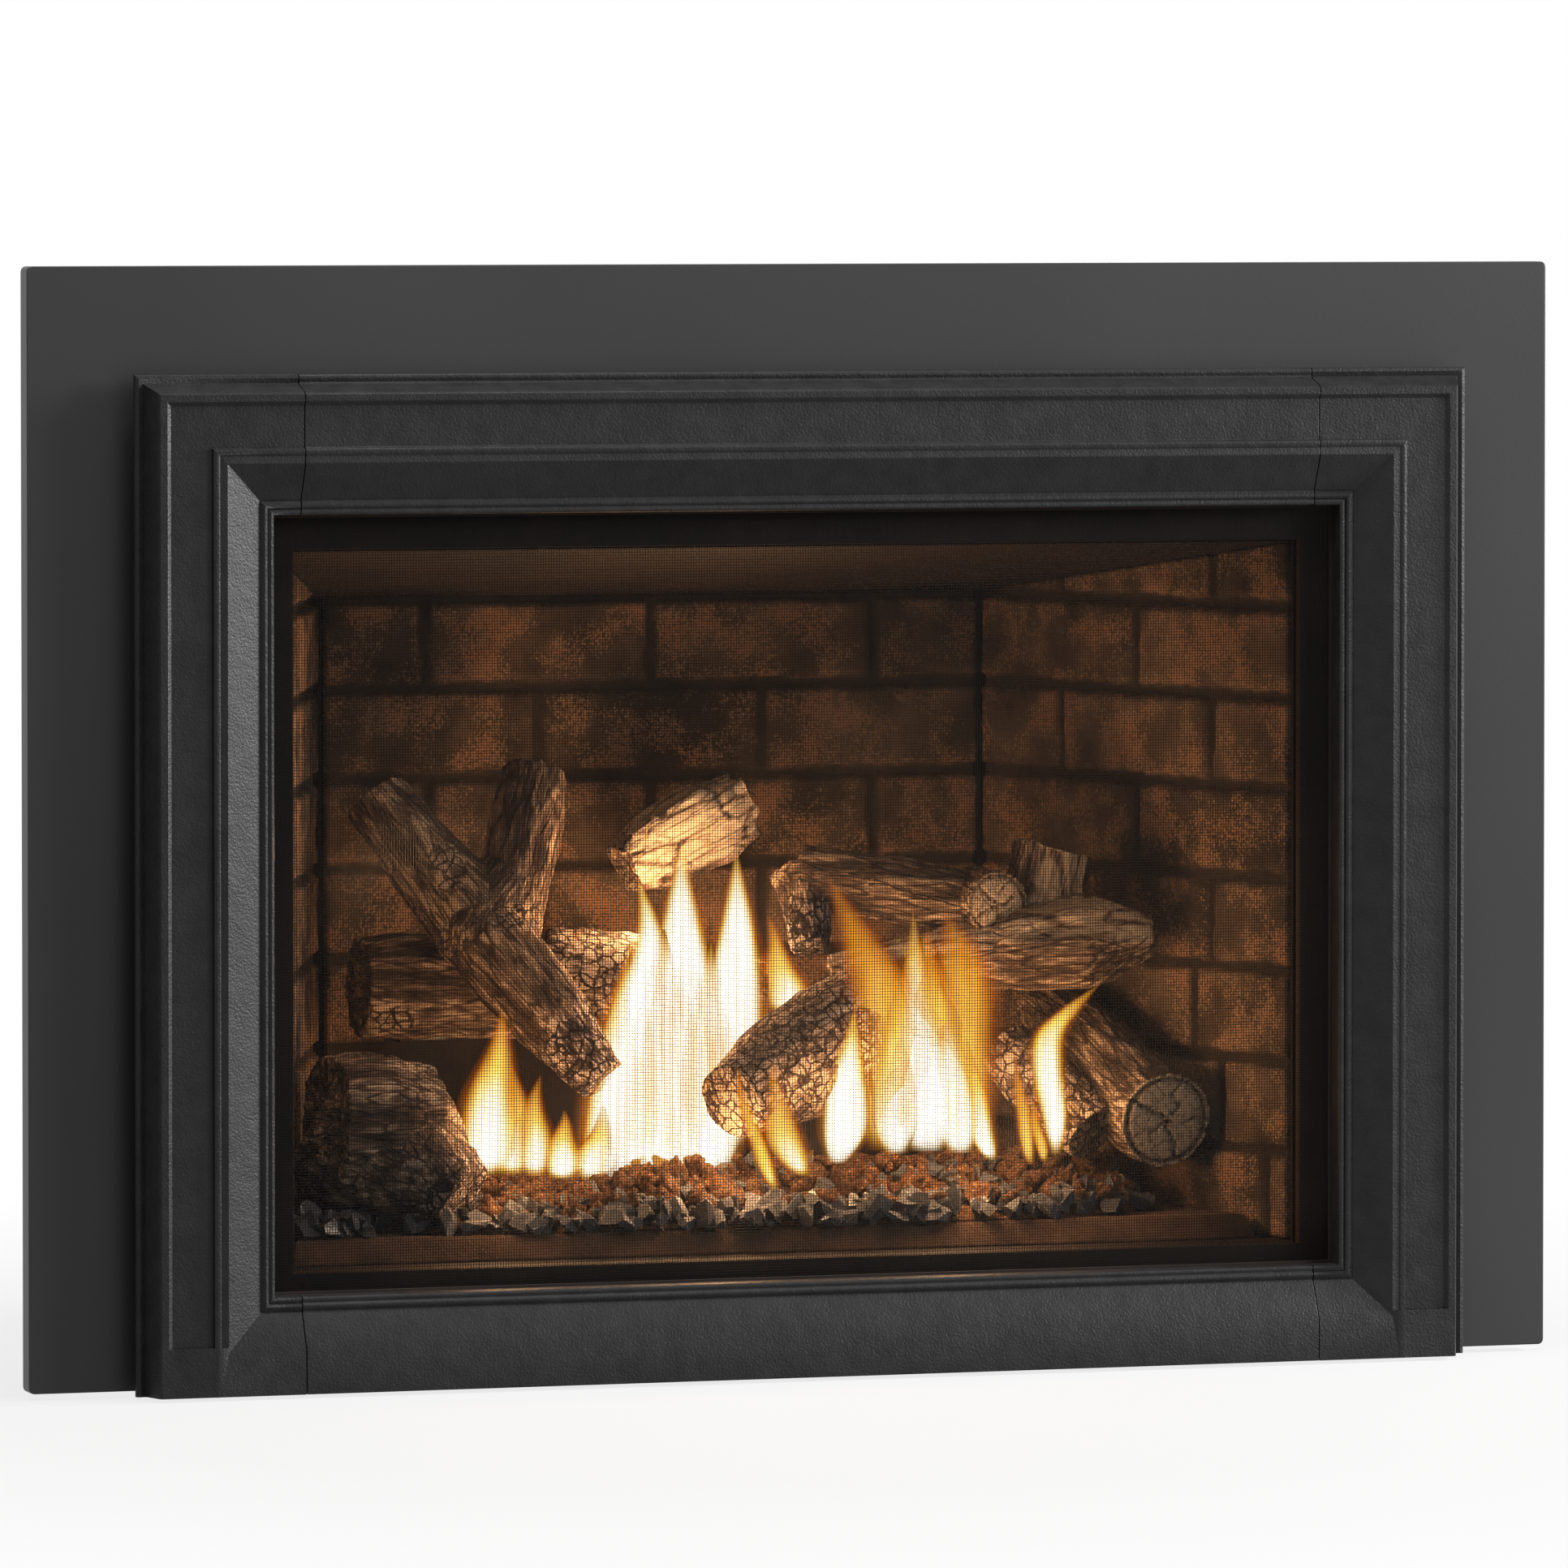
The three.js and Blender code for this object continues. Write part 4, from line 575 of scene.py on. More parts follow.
# Rock wool: matted brown fibre lit from under, with orange-hot threads where the gas burns.
ember_wool, tree, shader, at = finish("glowing_rock_wool", Roughness=1.0, Specular_IOR_Level=0.1,
                                      Emission_Strength=2.2)
matted = add(tree, "TexNoise", {"Vector": at, "Scale": 300.0, "Detail": 6.0, "Roughness": 0.75,
                                "Distortion": 1.2})
patch = add(tree, "TexNoise", {"Vector": at, "Scale": 38.0, "Detail": 3.0})
tone = add(tree, "ValToRGB", {"Fac": matted},
           stops=[(0.34, "#211811"), (0.74, "#b98d64"), (0.54, "#5f452f")])
warm = add(tree, "Attribute", attribute_name="heat").outputs["Fac"]
thread = add(tree, "MapRange", {"Value": matted, "From Min": 0.5, "From Max": 0.64}, clamp=True)
lit = add(tree, "MapRange", {"Value": patch, "From Min": 0.5, "From Max": 0.6}, clamp=True)
hot = add(tree, "Math", {0: thread, 1: lit}, operation="MULTIPLY")
hotter = add(tree, "Math", {0: hot, 1: warm}, operation="MULTIPLY")
ember = add(tree, "ValToRGB", {"Fac": hotter},
            stops=[(0.02, "#000000"), (0.9, "#ffb04a"), (0.3, "#b53c0c"), (0.6, "#ff6a16")])
bump = add(tree, "Bump", {"Height": matted, "Strength": 1.0, "Distance": 0.003})
feed(shader, {"Base Color": tone, "Emission Color": ember, "Normal": bump})
ember_wool.cycles.emission_sampling = "NONE"

across = np.linspace(-HEAP_HALF, HEAP_HALF, HEAP_GRID[0])
deep = np.linspace(0, 1, HEAP_GRID[1])
edge = heap_edge(across)
heap = np.empty((*HEAP_GRID, 3))
heap[..., 0] = across[:, None]
heap[..., 1] = edge[:, None] + (HEAP_BACK - edge[:, None]) * deep[None]
heap[..., 2] = heap_top(heap[..., 0], heap[..., 1])
spots = heap.reshape(-1, 3)
heap[..., 2] += (grain_noise(spots, 16, 1) * 3.2 + grain_noise(spots, 7, 2) * 1.6 - 2.5).reshape(HEAP_GRID)
heap[..., 2] = np.maximum(heap[..., 2], TRAY_TOP + 0.6)
under = heap.copy()
under[..., 2] = TRAY_TOP
points, faces = slab(heap, under)
new_piece("ember_heap", points, faces, "insert", ["ember_bed"], ember_wool,
          {"heat": np.full(len(points), 0.8)})


def ball_points():
    """Unit points and faces of a small round of triangles."""
    work = bmesh.new()
    bmesh.ops.create_icosphere(work, subdivisions=3, radius=1)
    work.verts.ensure_lookup_table()
    points = np.array([v.co for v in work.verts])
    faces = [[v.index for v in f.verts] for f in work.faces]
    work.free()
    return points, faces


def random_turn(rng):
    """A random rotation matrix."""
    q = rng.normal(size=4)
    w, x, y, z = q / np.linalg.norm(q)
    return np.array([[1 - 2 * (y * y + z * z), 2 * (x * y - z * w), 2 * (x * z + y * w)],
                     [2 * (x * y + z * w), 1 - 2 * (x * x + z * z), 2 * (y * z - x * w)],
                     [2 * (x * z - y * w), 2 * (y * z + x * w), 1 - 2 * (x * x + y * y)]])


# Rock wool tufts: torn lumps 10 to 24 mm across, thickest over the burner ports.
TUFTS = 230
rng = np.random.default_rng(41)
ball, ball_faces = ball_points()
points, faces, heats = [], [], []
for k in range(TUFTS):
    x = rng.uniform(-275, 300)
    back = rng.uniform(0, 1) ** 0.9
    y = heap_edge(x) + 8 + back * 98
    size = rng.uniform(5, 12)
    lump = ball * size * rng.uniform(0.7, 1.25, 3) * (1, 0.9, 0.62)
    torn = grain_noise(lump, size * 0.6, k) * 0.5 + grain_noise(lump, size * 0.27, k + 1) * 0.42
    lump = (lump * (1 + torn)[:, None]) @ random_turn(rng).T
    lump += (x, y, float(heap_top(x, y)) + size * 0.35)
    lump[:, 2] = np.maximum(lump[:, 2], TRAY_TOP + 0.4)
    faces += [[len(points) * len(ball) + v for v in f] for f in ball_faces]
    points.append(lump)
    heats.append(np.full(len(ball), rng.choice([0.2, 0.6, 2.0], p=[0.45, 0.33, 0.22])))
new_piece("rock_wool_tufts", np.concatenate(points), faces, "insert", None, ember_wool,
          {"heat": np.concatenate(heats)})

# Cast charcoal: slate grey broken faces, their sharp edges dry-brushed with pale ash.
charcoal, tree, shader, at = finish("cast_charcoal", Roughness=0.62, Specular_IOR_Level=0.45)
ridge = add(tree, "Attribute", attribute_name="ridge").outputs["Fac"]
vein = add(tree, "TexNoise", {"Vector": at, "Scale": 190.0, "Detail": 5.0, "Roughness": 0.7})
brushed = add(tree, "Math", {0: vein, 1: ridge}, operation="MULTIPLY")
tone = add(tree, "ValToRGB", {"Fac": brushed},
           stops=[(0.08, "#101112"), (0.72, "#bdbbb5"), (0.22, "#303235"), (0.5, "#5a5854")])
bump = add(tree, "Bump", {"Height": vein, "Strength": 0.8, "Distance": 0.0016})
feed(shader, {"Base Color": tone, "Normal": bump})

CHIP_CUTS = 11
CHIP_EDGE = 0.09
CHIP_KINDS = 16


def chip(rng):
    """A broken lump of unit size, cut flat all round: points, faces, and 1 at its sharp corners."""
    work = bmesh.new()
    bmesh.ops.create_cube(work, size=2)
    for _ in range(CHIP_CUTS):
        facing = Vector(rng.normal(size=3)).normalized()
        parts = work.verts[:] + work.edges[:] + work.faces[:]
        cut = bmesh.ops.bisect_plane(work, geom=parts, plane_co=facing * rng.uniform(0.5, 0.85),
                                     plane_no=facing, clear_outer=True)
        rim = [e for e in cut["geom_cut"] if isinstance(e, bmesh.types.BMEdge)]
        if rim:
            bmesh.ops.edgeloop_fill(work, edges=rim)
    corners = len(work.verts)
    bmesh.ops.inset_individual(work, faces=work.faces[:], thickness=CHIP_EDGE)
    work.verts.index_update()
    points = np.array([v.co for v in work.verts])
    faces = [[v.index for v in f.verts] for f in work.faces]
    work.free()
    return points, faces, (np.arange(len(points)) < corners).astype(float)


PIECES = 420
BESIDE_LOG = 30
FRONT_ROWS = 270
rng = np.random.default_rng(17)
chips = [chip(rng) for _ in range(CHIP_KINDS)]
points, faces, ridges, count = [], [], [], 0
for k in range(PIECES):
    if k < BESIDE_LOG:
        x, y = rng.uniform(-372, -318), rng.uniform(76, 102)
        floor = TRAY_TOP
    else:
        x = rng.uniform(-296, 318)
        y = float(heap_edge(x)) + (rng.uniform(-5, 30) if k < FRONT_ROWS else rng.uniform(20, 110))
        floor = float(heap_top(x, y))
    lump, lump_faces, sharp = chips[k % len(chips)]
    size = rng.uniform(7, 15) * (1.0 if k < FRONT_ROWS else 0.75)
    lump = (lump * size * rng.uniform((0.8, 0.55, 0.45), (1.3, 0.8, 0.7))) @ random_turn(rng).T
    lump += (x, y, max(floor + size * 0.2, TRAY_TOP - lump[:, 2].min() * 0.8))
    lump[:, 2] = np.maximum(lump[:, 2], TRAY_TOP + 0.2)
    faces += [[count + v for v in f] for f in lump_faces]
    count += len(lump)
    points.append(lump)
    ridges.append(0.34 + sharp * rng.uniform(0.2, 0.9))
new_piece("charcoal_pieces", np.concatenate(points), faces, "insert", None, charcoal,
          {"ridge": np.concatenate(ridges)}, smooth=False)

# ------------------------------
# Flames: burning gas over the ports, not a solid. Each is a closed tapering tongue in two layers,
# an orange mantle round a pale core that the air draws up; they let light through.
# ------------------------------

# Y in the bed in mm, heat of the core (1 is yellow-white), and the tongue from foot to tip: x, z
# and width in mm.
FLAMES = [
    (130, 0.84, [(-212, 146, 30), (-209, 172, 38), (-206, 204, 33), (-201, 235, 20), (-198, 272, 2)]),
    (134, 0.72, [(-190, 145, 22), (-188, 168, 26), (-186, 196, 18), (-188, 232, 2)]),
    (130, 0.76, [(-172, 144, 18), (-172, 168, 24), (-172, 191, 16), (-168, 220, 2)]),
    (130, 0.8, [(-150, 141, 20), (-150, 158, 26), (-149, 174, 15), (-149, 193, 2)]),
    (140, 0.78, [(-126, 139, 20), (-123, 156, 26), (-117, 174, 14), (-112, 196, 2)]),
    (235, 0.6, [(-103, 258, 22), (-105, 280, 27), (-108, 300, 17), (-105, 326, 2)]),
    (175, 1.35, [(-88, 134, 38), (-85, 172, 54), (-79, 222, 54), (-72, 271, 40), (-67, 318, 22),
                 (-76, 366, 2)]),
    (170, 1.35, [(-66, 134, 34), (-64, 178, 50), (-60, 232, 46), (-57, 280, 26), (-55, 326, 2)]),
    (178, 1.4, [(-44, 136, 46), (-43, 172, 60), (-41, 228, 62), (-40, 284, 46), (-39, 340, 25),
                (-41, 394, 2)]),
    (168, 1.35, [(-24, 136, 32), (-22, 172, 44), (-21, 222, 40), (-22, 270, 22), (-20, 316, 2)]),
    (172, 1.3, [(-8, 160, 30), (-6, 200, 46), (-3, 252, 44), (1, 302, 32), (3, 346, 18), (4, 386, 2)]),
    (182, 0.9, [(-104, 134, 20), (-101, 168, 28), (-94, 218, 26), (-87, 264, 17), (-81, 314, 2)]),
    (200, 0.75, [(52, 258, 24), (51, 278, 29), (45, 300, 17), (36, 334, 2)]),
    (76, 0.7, [(25, 143, 12), (13, 165, 25), (5, 190, 20), (2, 231, 2)]),
    (76, 0.6, [(3, 133, 7), (-8, 160, 12), (-19, 192, 9), (-29, 230, 1)]),
    (98, 1.15, [(60, 150, 14), (66, 175, 30), (68, 203, 29), (69, 231, 19), (73, 268, 2)]),
    (118, 0.62, [(104, 157, 24), (106, 190, 44), (110, 229, 54), (105, 272, 48), (86, 316, 30),
                 (60, 370, 2)]),
    (113, 1.1, [(112, 155, 18), (112, 184, 32), (114, 216, 30), (116, 252, 16), (114, 286, 2)]),
    (116, 1.15, [(138, 156, 26), (135, 191, 50), (130, 232, 46), (127, 278, 25), (126, 340, 2)]),
    (124, 0.6, [(172, 160, 26), (170, 196, 40), (166, 236, 48), (167, 278, 46), (167, 308, 30),
                (157, 340, 2)]),
    (121, 0.62, [(140, 232, 40), (138, 262, 52), (136, 290, 36), (140, 326, 2)]),
    (114, 1.05, [(164, 154, 20), (158, 190, 34), (152, 232, 28), (147, 286, 2)]),
    (110, 0.85, [(188, 148, 9), (180, 170, 18), (174, 203, 15), (169, 242, 2)]),
    (108, 0.55, [(219, 144, 6), (215, 171, 11), (212, 196, 9), (206, 230, 1)]),
    (104, 0.55, [(229, 146, 5), (226, 162, 9), (221, 180, 7), (217, 200, 1)]),
    (100, 0.85, [(237, 152, 8), (236, 183, 18), (230, 221, 22), (232, 246, 20), (250, 264, 14),
                 (274, 282, 2)]),
]
FLAME_SIDES = 24
FLAME_RINGS = 44
FLAME_DEPTH = 0.5
FLAME_SWAY = 1.6
# From the thin outside of a flame to its heart, linear light: dull red, orange, yellow, white.
FLAME_HEATS = [0.0, 0.22, 0.45, 0.7, 1.0]
FLAME_LIGHTS = [(0.45, 0.06, 0.002), (0.95, 0.22, 0.008), (1.6, 0.7, 0.05), (2.8, 1.9, 0.35), (5.6, 5.4, 4.6)]


def along_curve(knots, count):
    """Points on a smooth curve through the knots."""
    knots = np.array(knots, float)
    padded = np.concatenate([[2 * knots[0] - knots[1]], knots, [2 * knots[-1] - knots[-2]]])
    result = []
    for t in np.linspace(0, len(knots) - 1 - 1e-9, count):
        i = int(t)
        f = t - i
        a, b, c, d = padded[i:i + 4]
        result.append(0.5 * (2 * b + (c - a) * f + (2 * a - 5 * b + 4 * c - d) * f * f
                             + (3 * b - a - 3 * c + d) * f ** 3))
    return np.array(result)


# Burning gas: soft light with no surface of its own; colour and thinness are kept at each point.
gas_flame, tree, shader, at = finish("burning_gas", Roughness=1.0, Specular_IOR_Level=0.0,
                                     Base_Color=(0, 0, 0, 1), Emission_Strength=1.0)
fire = add(tree, "Attribute", attribute_name="fire")
squeeze = add(tree, "Mapping", {"Vector": at, "Scale": (1.0, 1.0, 0.14)})
streak = add(tree, "TexNoise", {"Vector": squeeze, "Scale": 95.0, "Detail": 2.0})
thin = add(tree, "MapRange", {"Value": streak, "From Min": 0.3, "From Max": 0.62,
                              "To Min": 0.55, "To Max": 1.0}, clamp=True)
veil = add(tree, "Math", {0: fire.outputs["Alpha"], 1: thin}, operation="MULTIPLY")
feed(shader, {"Emission Color": fire.outputs["Color"], "Alpha": veil})
gas_flame.cycles.emission_sampling = "NONE"

for number, (depth, heat, knots) in enumerate(FLAMES):
    path = along_curve(knots, FLAME_RINGS)
    path[:, 2] = np.maximum(path[:, 2], 0.8)
    turn = np.linspace(0, 2 * math.pi, FLAME_SIDES, endpoint=False)
    points, faces, lights = [], [], []
    # Each layer's width against the tongue's, its heat, and how much it covers what is behind.
    mantle, heart = (1.6, min(heat, 1) * 0.46, 0.55), (1.2, heat * 1.15, 0.95)
    for scale, core, cover in (mantle, heart):
        low = len(points)
        v = np.linspace(0, 1, FLAME_RINGS)
        for i in range(FLAME_RINGS):
            x, z, width = path[i]
            sway = FLAME_SWAY * math.sin(v[i] * 9 + number * 2.1) * v[i]
            half = width / 2 * scale
            for angle in turn:
                y = depth + FLAME_DEPTH * half * math.sin(angle)
                points.append((x + sway + half * math.cos(angle), y, z))
                depth_in = 1 - math.cos(angle) ** 2
                inner = core * (0.3 + 0.7 * depth_in) * (1.12 - 0.72 * v[i] ** 1.6) * min(1, 0.6 + v[i] * 4)
                light = [np.interp(inner, FLAME_HEATS, [c[k] for c in FLAME_LIGHTS]) for k in range(3)]
                fade = min(1, v[i] * 5 + 0.05) * min(1, (1 - v[i]) * 2.6 + 0.03)
                lights.append(light + [cover * depth_in ** 1.3 * fade * (0.6 + 0.4 * heat)])
        for i in range(FLAME_RINGS - 1):
            row = low + i * FLAME_SIDES
            faces += [[row + k, row + (k + 1) % FLAME_SIDES, row + FLAME_SIDES + (k + 1) % FLAME_SIDES,
                       row + FLAME_SIDES + k] for k in range(FLAME_SIDES)]
        faces.append([low + k for k in range(FLAME_SIDES)][::-1])
        faces.append([len(points) - FLAME_SIDES + k for k in range(FLAME_SIDES)])
    flame = new_piece("flame_%02d" % number, points, faces, "insert", None, gas_flame,
                      {"fire": np.array(lights)})
    flame.visible_shadow = flame.visible_diffuse = False

# The light that the fire gives: small warm lamps in the flames and low over the embers, each with
# its x, y and z in mm and its watts.
FIRE_LIGHTS = [(-40, 150, 220, 2.2), (135, 95, 215, 1.5), (-190, 110, 190, 0.9), (232, 85, 205, 0.3),
               (-60, 225, 330, 1.7), (60, 240, 300, 1.0), (-30, 80, 165, 1.0), (150, 66, 165, 0.8),
               (-210, 66, 150, 0.35), (-25, 222, 385, 0.25), (-335, 50, 400, 0.75),
               (290, 60, 360, 0.12), (0, 110, 480, 0.5), (35, 52, 205, 0.4), (60, 320, 235, 0.15),
               (-200, 330, 250, 0.15)]
for x, y, z, watts in FIRE_LIGHTS:
    lamp = bpy.data.lights.new("fire_light", "POINT")
    lamp.color = colour("#ffc288")[:3]
    lamp.energy, lamp.shadow_soft_size = watts, 0.022
    glow = bpy.data.objects.new("fire_light", lamp)
    glow.location = (x / 1000, y / 1000, z / 1000)
    bpy.context.scene.collection.objects.link(glow)

# ------------------------------
# Gas controls on the base plate: die-cast valve with its two knobs and igniter, the on and off
# switch, the steel control panel and the brass-ended gas pipe.
# ------------------------------

# Die-cast aluminium: shot-blasted light grey with a fine, dry grain.
die_cast, tree, shader, at = finish("die_cast_aluminium", Metallic=1.0, Roughness=0.5)
pit = add(tree, "TexNoise", {"Vector": at, "Scale": 420.0, "Detail": 3.0})
tone = add(tree, "ValToRGB", {"Fac": pit}, stops=[(0.3, "#8d9092"), (0.7, "#b0b2b3")])
bump = add(tree, "Bump", {"Height": pit, "Strength": 0.4, "Distance": 0.0005})
feed(shader, {"Base Color": tone, "Normal": bump})
dress(["gas_valve"], die_cast, 0.8)

# Moulded black plastic: even and slightly shiny, with a fine spark-eroded texture.
moulded, tree, shader, at = finish("moulded_black_nylon", Roughness=0.42)
spark = add(tree, "TexNoise", {"Vector": at, "Scale": 900.0, "Detail": 2.0})
tone = add(tree, "ValToRGB", {"Fac": spark}, stops=[(0.3, "#161617"), (0.7, "#232325")])
bump = add(tree, "Bump", {"Height": spark, "Strength": 0.3, "Distance": 0.0002})
feed(shader, {"Base Color": tone, "Normal": bump})
dress(["valve_knob", "flame_knob", "igniter_button", "switch_housing", "rocker_switch"], moulded, 0.6)

# Yellow brass: turned, with faint tool rings and brown tarnish in patches.
brass, tree, shader, at = finish("turned_brass", Metallic=1.0)
tarnish = add(tree, "TexNoise", {"Vector": at, "Scale": 45.0, "Detail": 4.0})
tone = add(tree, "ValToRGB", {"Fac": tarnish}, stops=[(0.35, "#8a6a35"), (0.65, "#c2a05c")])
gloss = add(tree, "MapRange", {"Value": tarnish, "To Min": 0.42, "To Max": 0.24})
feed(shader, {"Base Color": tone, "Roughness": gloss})
dress(["gas_inlet_pipe"], brass, 0.5)
dress(["control_panel"], stove_paint, 0.5)

# ------------------------------
# Blower: galvanised housing with an aluminium cross-flow rotor and its motor, screwed to the base
# plate behind the firebox.
# ------------------------------
dress(["blower_housing"], galvanised, 0.5)
dress(["blower_rotor"], die_cast, 0.2)

# Motor: stacked electrical steel, blue-grey from its heat treatment, its layers drawn 2 mm apart
# so that they show.
stack, tree, shader, at = finish("laminated_motor_steel", Metallic=1.0, Roughness=0.45)
layer = add(tree, "TexWave", {"Vector": at, "Scale": 160.0, "Distortion": 0.4}, bands_direction="X")
tone = add(tree, "ValToRGB", {"Fac": layer.outputs["Fac"]}, stops=[(0.1, "#3b3e44"), (0.9, "#6d7078")])
bump = add(tree, "Bump", {"Height": layer.outputs["Fac"], "Strength": 0.5, "Distance": 0.0004})
feed(shader, {"Base Color": tone, "Normal": bump})
dress(["blower_motor"], stack, 0.8)

# ------------------------------
# Flue collars: two short tubes that the exhaust hose and the air hose clamp on to. Spun from
# aluminium sheet, each with a flange that is riveted to the casing's top.
# ------------------------------

# Spun aluminium: bright satin with rings 1.4 mm apart from the spinning roller.
spun, tree, shader, at = finish("spun_aluminium", Metallic=1.0)
rings = add(tree, "TexWave", {"Vector": at, "Scale": 220.0, "Distortion": 0.6}, bands_direction="Z")
tone = add(tree, "ValToRGB", {"Fac": rings.outputs["Fac"]}, stops=[(0.1, "#a2a5a7"), (0.9, "#bfc1c3")])
gloss = add(tree, "MapRange", {"Value": rings.outputs["Fac"], "To Min": 0.28, "To Max": 0.4})
feed(shader, {"Base Color": tone, "Roughness": gloss})
dress(["exhaust_collar", "intake_collar"], spun, 0.5)

# ------------------------------
# Window: ceramic glass in a painted steel frame on a glass-fibre gasket, held by two turn
# latches on posts of the firebox front.
# ------------------------------
dress(["glass_frame"], stove_paint, 0.6)
dress(["glass_latch_left", "glass_latch_right", "latch_bracket_left", "latch_bracket_right"], galvanised, 0.4)

# Glass-fibre gasket: knitted white tape, greyed by heat, its knit about 2.5 mm.
gasket, tree, shader, at = finish("knitted_glass_fibre", Roughness=0.9)
knit = add(tree, "TexVoronoi", {"Vector": at, "Scale": 400.0})
tone = add(tree, "ValToRGB", {"Fac": knit}, stops=[(0.1, "#b9b4a8"), (0.8, "#6b675f")])
bump = add(tree, "Bump", {"Height": knit, "Strength": 0.8, "Distance": 0.0006}, invert=True)
feed(shader, {"Base Color": tone, "Normal": bump})
dress(["glass_gasket"], gasket, 0.3)

# Ceramic glass: faintly brown, polished, so thin to light that the fire shows through it; a
# slight haze of soot varies over it.
ceramic_glass, tree, shader, at = finish("ceramic_glass", Base_Color=colour("#1a1411"),
                                         Roughness=0.03, IOR=1.54)
haze = add(tree, "TexNoise", {"Vector": at, "Scale": 3.0, "Detail": 2.0})
veil = add(tree, "MapRange", {"Value": haze, "To Min": 0.02, "To Max": 0.06})
feed(shader, {"Alpha": veil})
dress(["glass_panel"], ceramic_glass, 0.4)

# ------------------------------
# Surround: three-sided sheet-steel panel that hides the old fireplace opening, with folded
# edges. Powder-coated satin charcoal, screwed to the face frame.
# ------------------------------

# Satin powder coat: smooth charcoal, with a faint orange-peel ripple about 3 mm across.
powder, tree, shader, at = finish("satin_charcoal_powder_coat", Roughness=0.42, Specular_IOR_Level=0.25)
peel = add(tree, "TexNoise", {"Vector": at, "Scale": 330.0, "Detail": 1.0})
cloud = add(tree, "TexNoise", {"Vector": at, "Scale": 2.2, "Detail": 2.0})
tone = add(tree, "ValToRGB", {"Fac": cloud}, stops=[(0.3, "#222222"), (0.7, "#2b2a2b")])
bump = add(tree, "Bump", {"Height": peel, "Strength": 0.12, "Distance": 0.0003})
feed(shader, {"Base Color": tone, "Normal": bump})
dress(["surround_panel"], powder, 0.8, merge=False)

# ------------------------------
# Cast-iron front: left and right castings with the rails between them, butted at fine seams and
# bolted through the joining plates. Sand-cast grey iron, painted satin black.
# ------------------------------

# Painted sand casting: the sand's grain shows through the paint as pebbles about 2 mm across,
# drawn coarser than the real sand so that it shows.
cast_iron, tree, shader, at = finish("painted_cast_iron", Roughness=0.46, Specular_IOR_Level=0.16)
pebble = add(tree, "TexNoise", {"Vector": at, "Scale": 560.0, "Detail": 2.0, "Roughness": 0.5})
swell = add(tree, "TexNoise", {"Vector": at, "Scale": 60.0, "Detail": 2.0})
tone = add(tree, "ValToRGB", {"Fac": swell}, stops=[(0.3, "#171616"), (0.7, "#1f1e1e")])
gloss = add(tree, "MapRange", {"Value": pebble, "To Min": 0.38, "To Max": 0.54})
level = add(tree, "Math", {0: pebble, 1: swell}, operation="ADD")
bump = add(tree, "Bump", {"Height": level, "Strength": 0.5, "Distance": 0.0009})
feed(shader, {"Base Color": tone, "Roughness": gloss, "Normal": bump})
dress(["front_left_casting", "front_right_casting", "front_top_rail", "front_bottom_rail"], cast_iron, 0.9)
dress(["joining_plate_left", "joining_plate_right"], galvanised, 0.4)
dress(["screen_frame"], stove_paint, 0.5)

# ------------------------------
# Barrier screen: woven black steel wire, 0.38 mm thick and 2.1 mm apart, stretched in the frame
# behind the castings to keep hands off the hot glass.
# ------------------------------

WIRE = 0.38
WIRE_PITCH = 2.1

# Wire blackened in a salt bath: nearly black with a soft sheen and slight brown stains.
black_wire, tree, shader, at = finish("blackened_screen_wire", Roughness=0.6, Specular_IOR_Level=0.08)
stain = add(tree, "TexNoise", {"Vector": at, "Scale": 40.0, "Detail": 2.0})
tone = add(tree, "ValToRGB", {"Fac": stain}, stops=[(0.3, "#0c0b0a"), (0.7, "#15120f")])
feed(shader, {"Base Color": tone})

low, high = [np.array(corner) * 1000 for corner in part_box("barrier_screen")]
points, faces = [], []
half = WIRE / 2
square = [(-half, -half), (half, -half), (half, half), (-half, half)]
for upright in (True, False):
    a, b = (0, 2) if upright else (2, 0)
    y = (low[1] + high[1]) / 2 + (0.21 if upright else -0.21)
    count = int((high[a] - low[a] - 2) / WIRE_PITCH)
    first = (low[a] + high[a]) / 2 - WIRE_PITCH * (count - 1) / 2
    for k in range(count):
        base = len(points)
        for end in (low[b] + 0.5, high[b] - 0.5):
            for p, q in square:
                spot = [0, y + q, 0]
                spot[a], spot[b] = first + k * WIRE_PITCH + p, end
                points.append(spot)
        faces += [[base + s, base + (s + 1) % 4, base + 4 + (s + 1) % 4, base + 4 + s] for s in range(4)]
        faces += [[base + 3, base + 2, base + 1, base], [base + 4, base + 5, base + 6, base + 7]]
new_piece("woven_screen", points, faces, "front", ["barrier_screen"], black_wire, smooth=False)

# ------------------------------
# Studio: what the object is photographed in, no part of it. A white floor and background, two
# soft round lamps at the right and one above, and the camera.
# ------------------------------


def seen_directly(tree):
    """1 for a ray from the camera or off a shiny or clear surface, 0 for one that only lights."""
    path = add(tree, "LightPath").outputs
    sees = add(tree, "Math", {0: path["Is Camera Ray"], 1: path["Is Glossy Ray"]}, operation="MAXIMUM")
    return add(tree, "Math", {0: sees, 1: path["Is Transmission Ray"]}, operation="MAXIMUM")


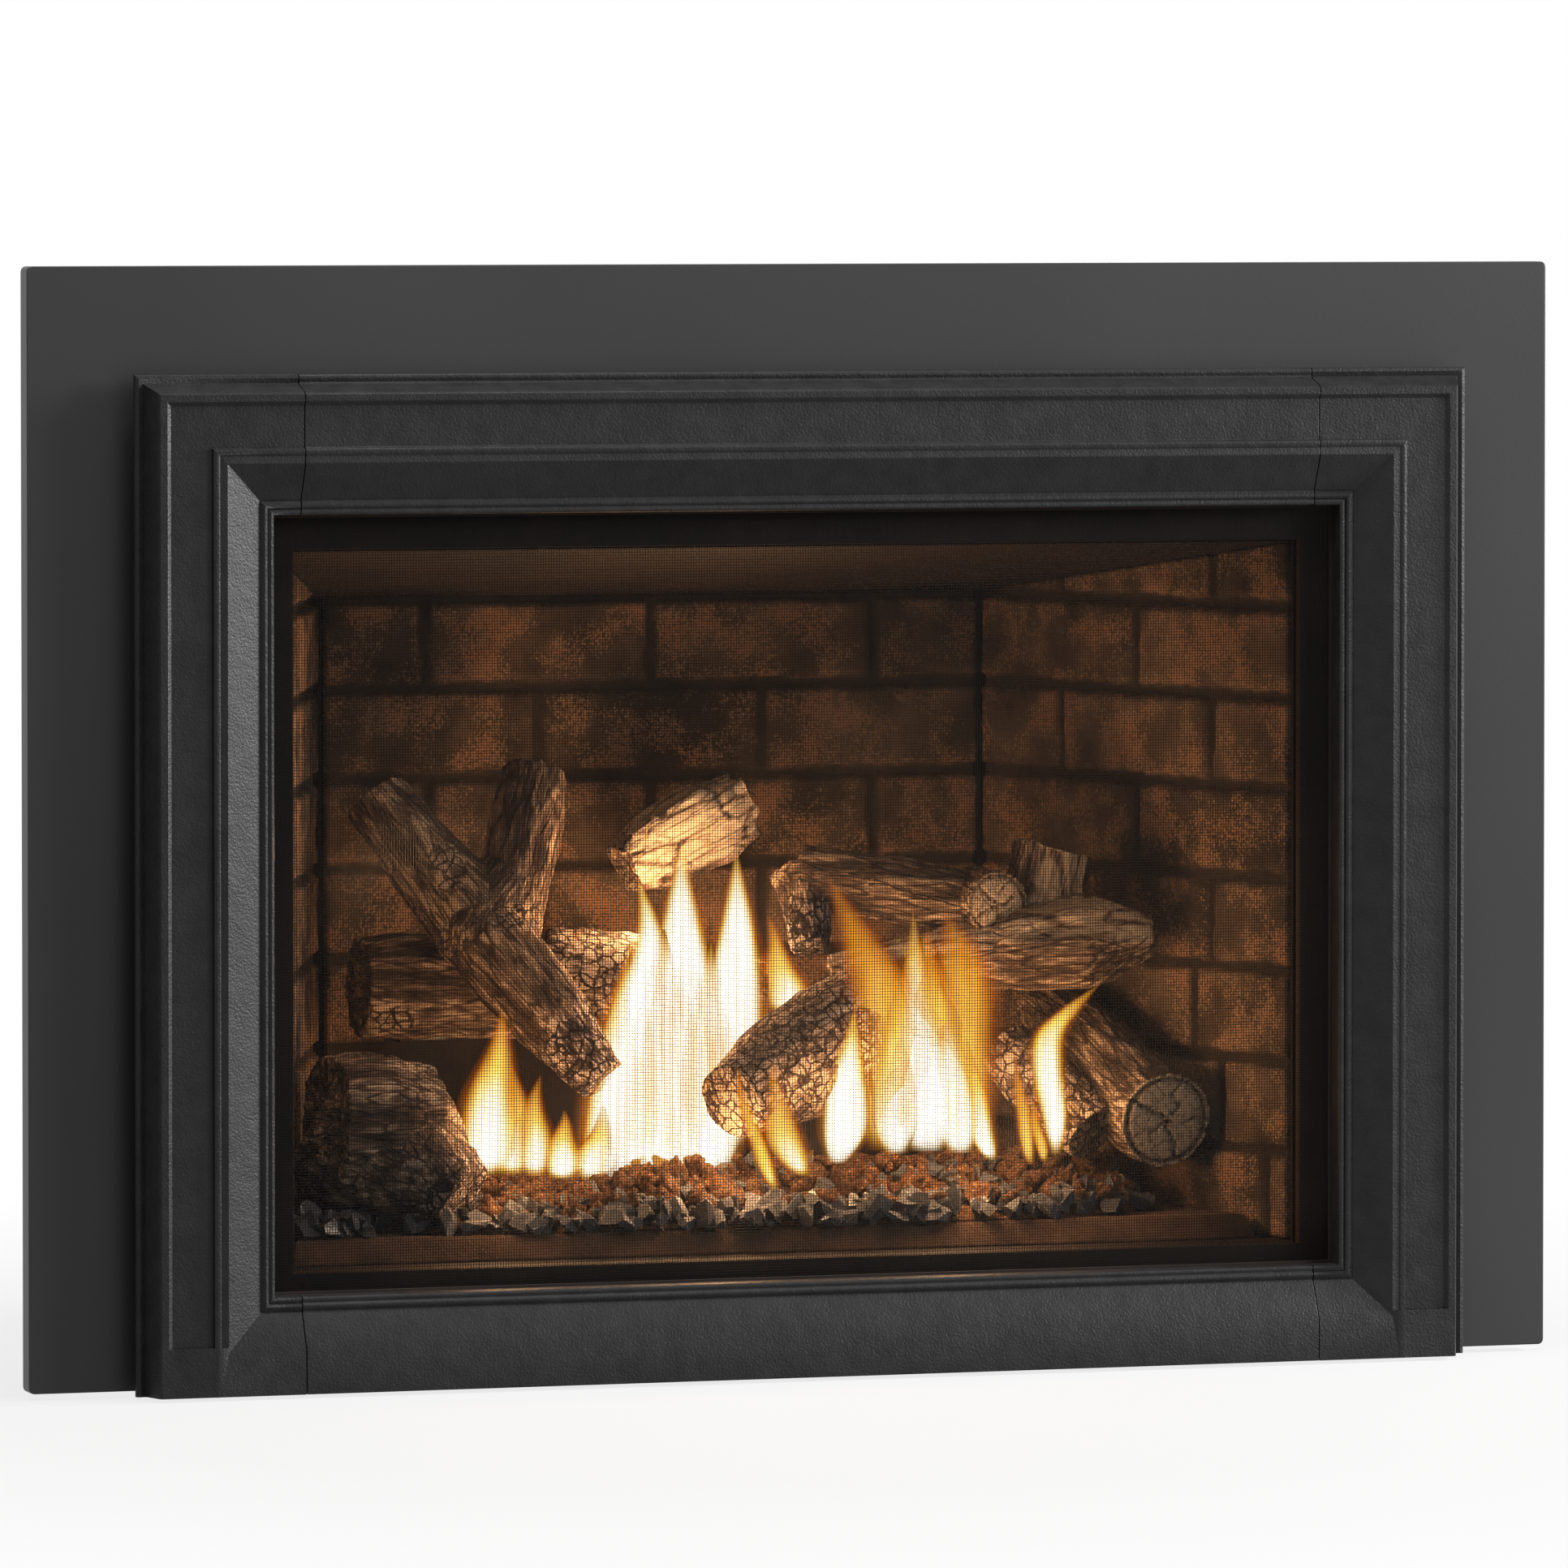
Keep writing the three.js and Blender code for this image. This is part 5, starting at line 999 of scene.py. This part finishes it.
# Painted studio floor: white, with the object's soft shadow kept; pure white further away.
studio_floor, tree, shader, at = finish("white_studio_floor", Base_Color=colour("#939393"), Roughness=0.8)
sees = seen_directly(tree)
away = add(tree, "VectorMath", {0: at}, operation="LENGTH")
far = add(tree, "MapRange", {"Value": away.outputs["Value"], "From Min": 0.7, "From Max": 1.6,
                             "To Min": 0.8, "To Max": 1.0}, clamp=True)
share = add(tree, "Math", {0: sees, 1: far}, operation="MULTIPLY")
white = add(tree, "Emission", {"Color": (1, 1, 1, 1), "Strength": 1.0})
mix = add(tree, "MixShader", {0: share, 1: shader.outputs["BSDF"], 2: white})
feed(tree.nodes["Material Output"], {"Surface": mix})
FLOOR_LEVEL = -0.001
mesh = bpy.data.meshes.new("studio_floor")
corners = [(x, y, FLOOR_LEVEL) for x, y in ((-60, -60), (60, -60), (60, 60), (-60, 60))]
mesh.from_pydata(corners, [], [(0, 1, 2, 3)])
mesh.materials.append(studio_floor)
ground = bpy.data.objects.new("studio_floor", mesh)
bpy.context.scene.collection.objects.link(ground)

world = bpy.data.worlds.new("studio")
bpy.context.scene.world = world
world.use_nodes = True
tree = world.node_tree
bright = add(tree, "MapRange", {"Value": seen_directly(tree), "To Min": 0.28, "To Max": 1.0})
feed(tree.nodes["Background"], {"Color": (1, 1, 1, 1), "Strength": bright})

for name, place, aim, size, watts in (("key_light", (3.6, -2.3, 1.7), (0.1, 0, 0.4), 1.3, 170),
                                      ("edge_light", (3.2, -0.5, 1.2), (-0.3, 0, 0.4), 0.9, 240),
                                      ("top_light", (-0.3, -0.6, 2.6), (0, 0, 0.3), 1.2, 55)):
    lamp = bpy.data.lights.new(name, "AREA")
    lamp.shape, lamp.size, lamp.energy = "DISK", size, watts
    softbox = bpy.data.objects.new(name, lamp)
    softbox.location = place
    softbox.rotation_euler = (Vector(aim) - Vector(place)).to_track_quat("-Z", "Y").to_euler()
    bpy.context.scene.collection.objects.link(softbox)

lens = bpy.data.cameras.new("camera")
lens.lens, lens.sensor_width, lens.shift_y = 268.7, 36.0, -0.1488
lens.clip_start, lens.clip_end = 0.5, 200
camera = bpy.data.objects.new("camera", lens)
camera.location = (-2.6882, -8.3892, 0.9297)
camera.rotation_euler = (math.radians(88), 0, math.radians(-17.68))
bpy.context.scene.collection.objects.link(camera)
bpy.context.scene.camera = camera
bpy.context.scene.view_settings.view_transform = "Standard"

bpy.context.view_layer.update()
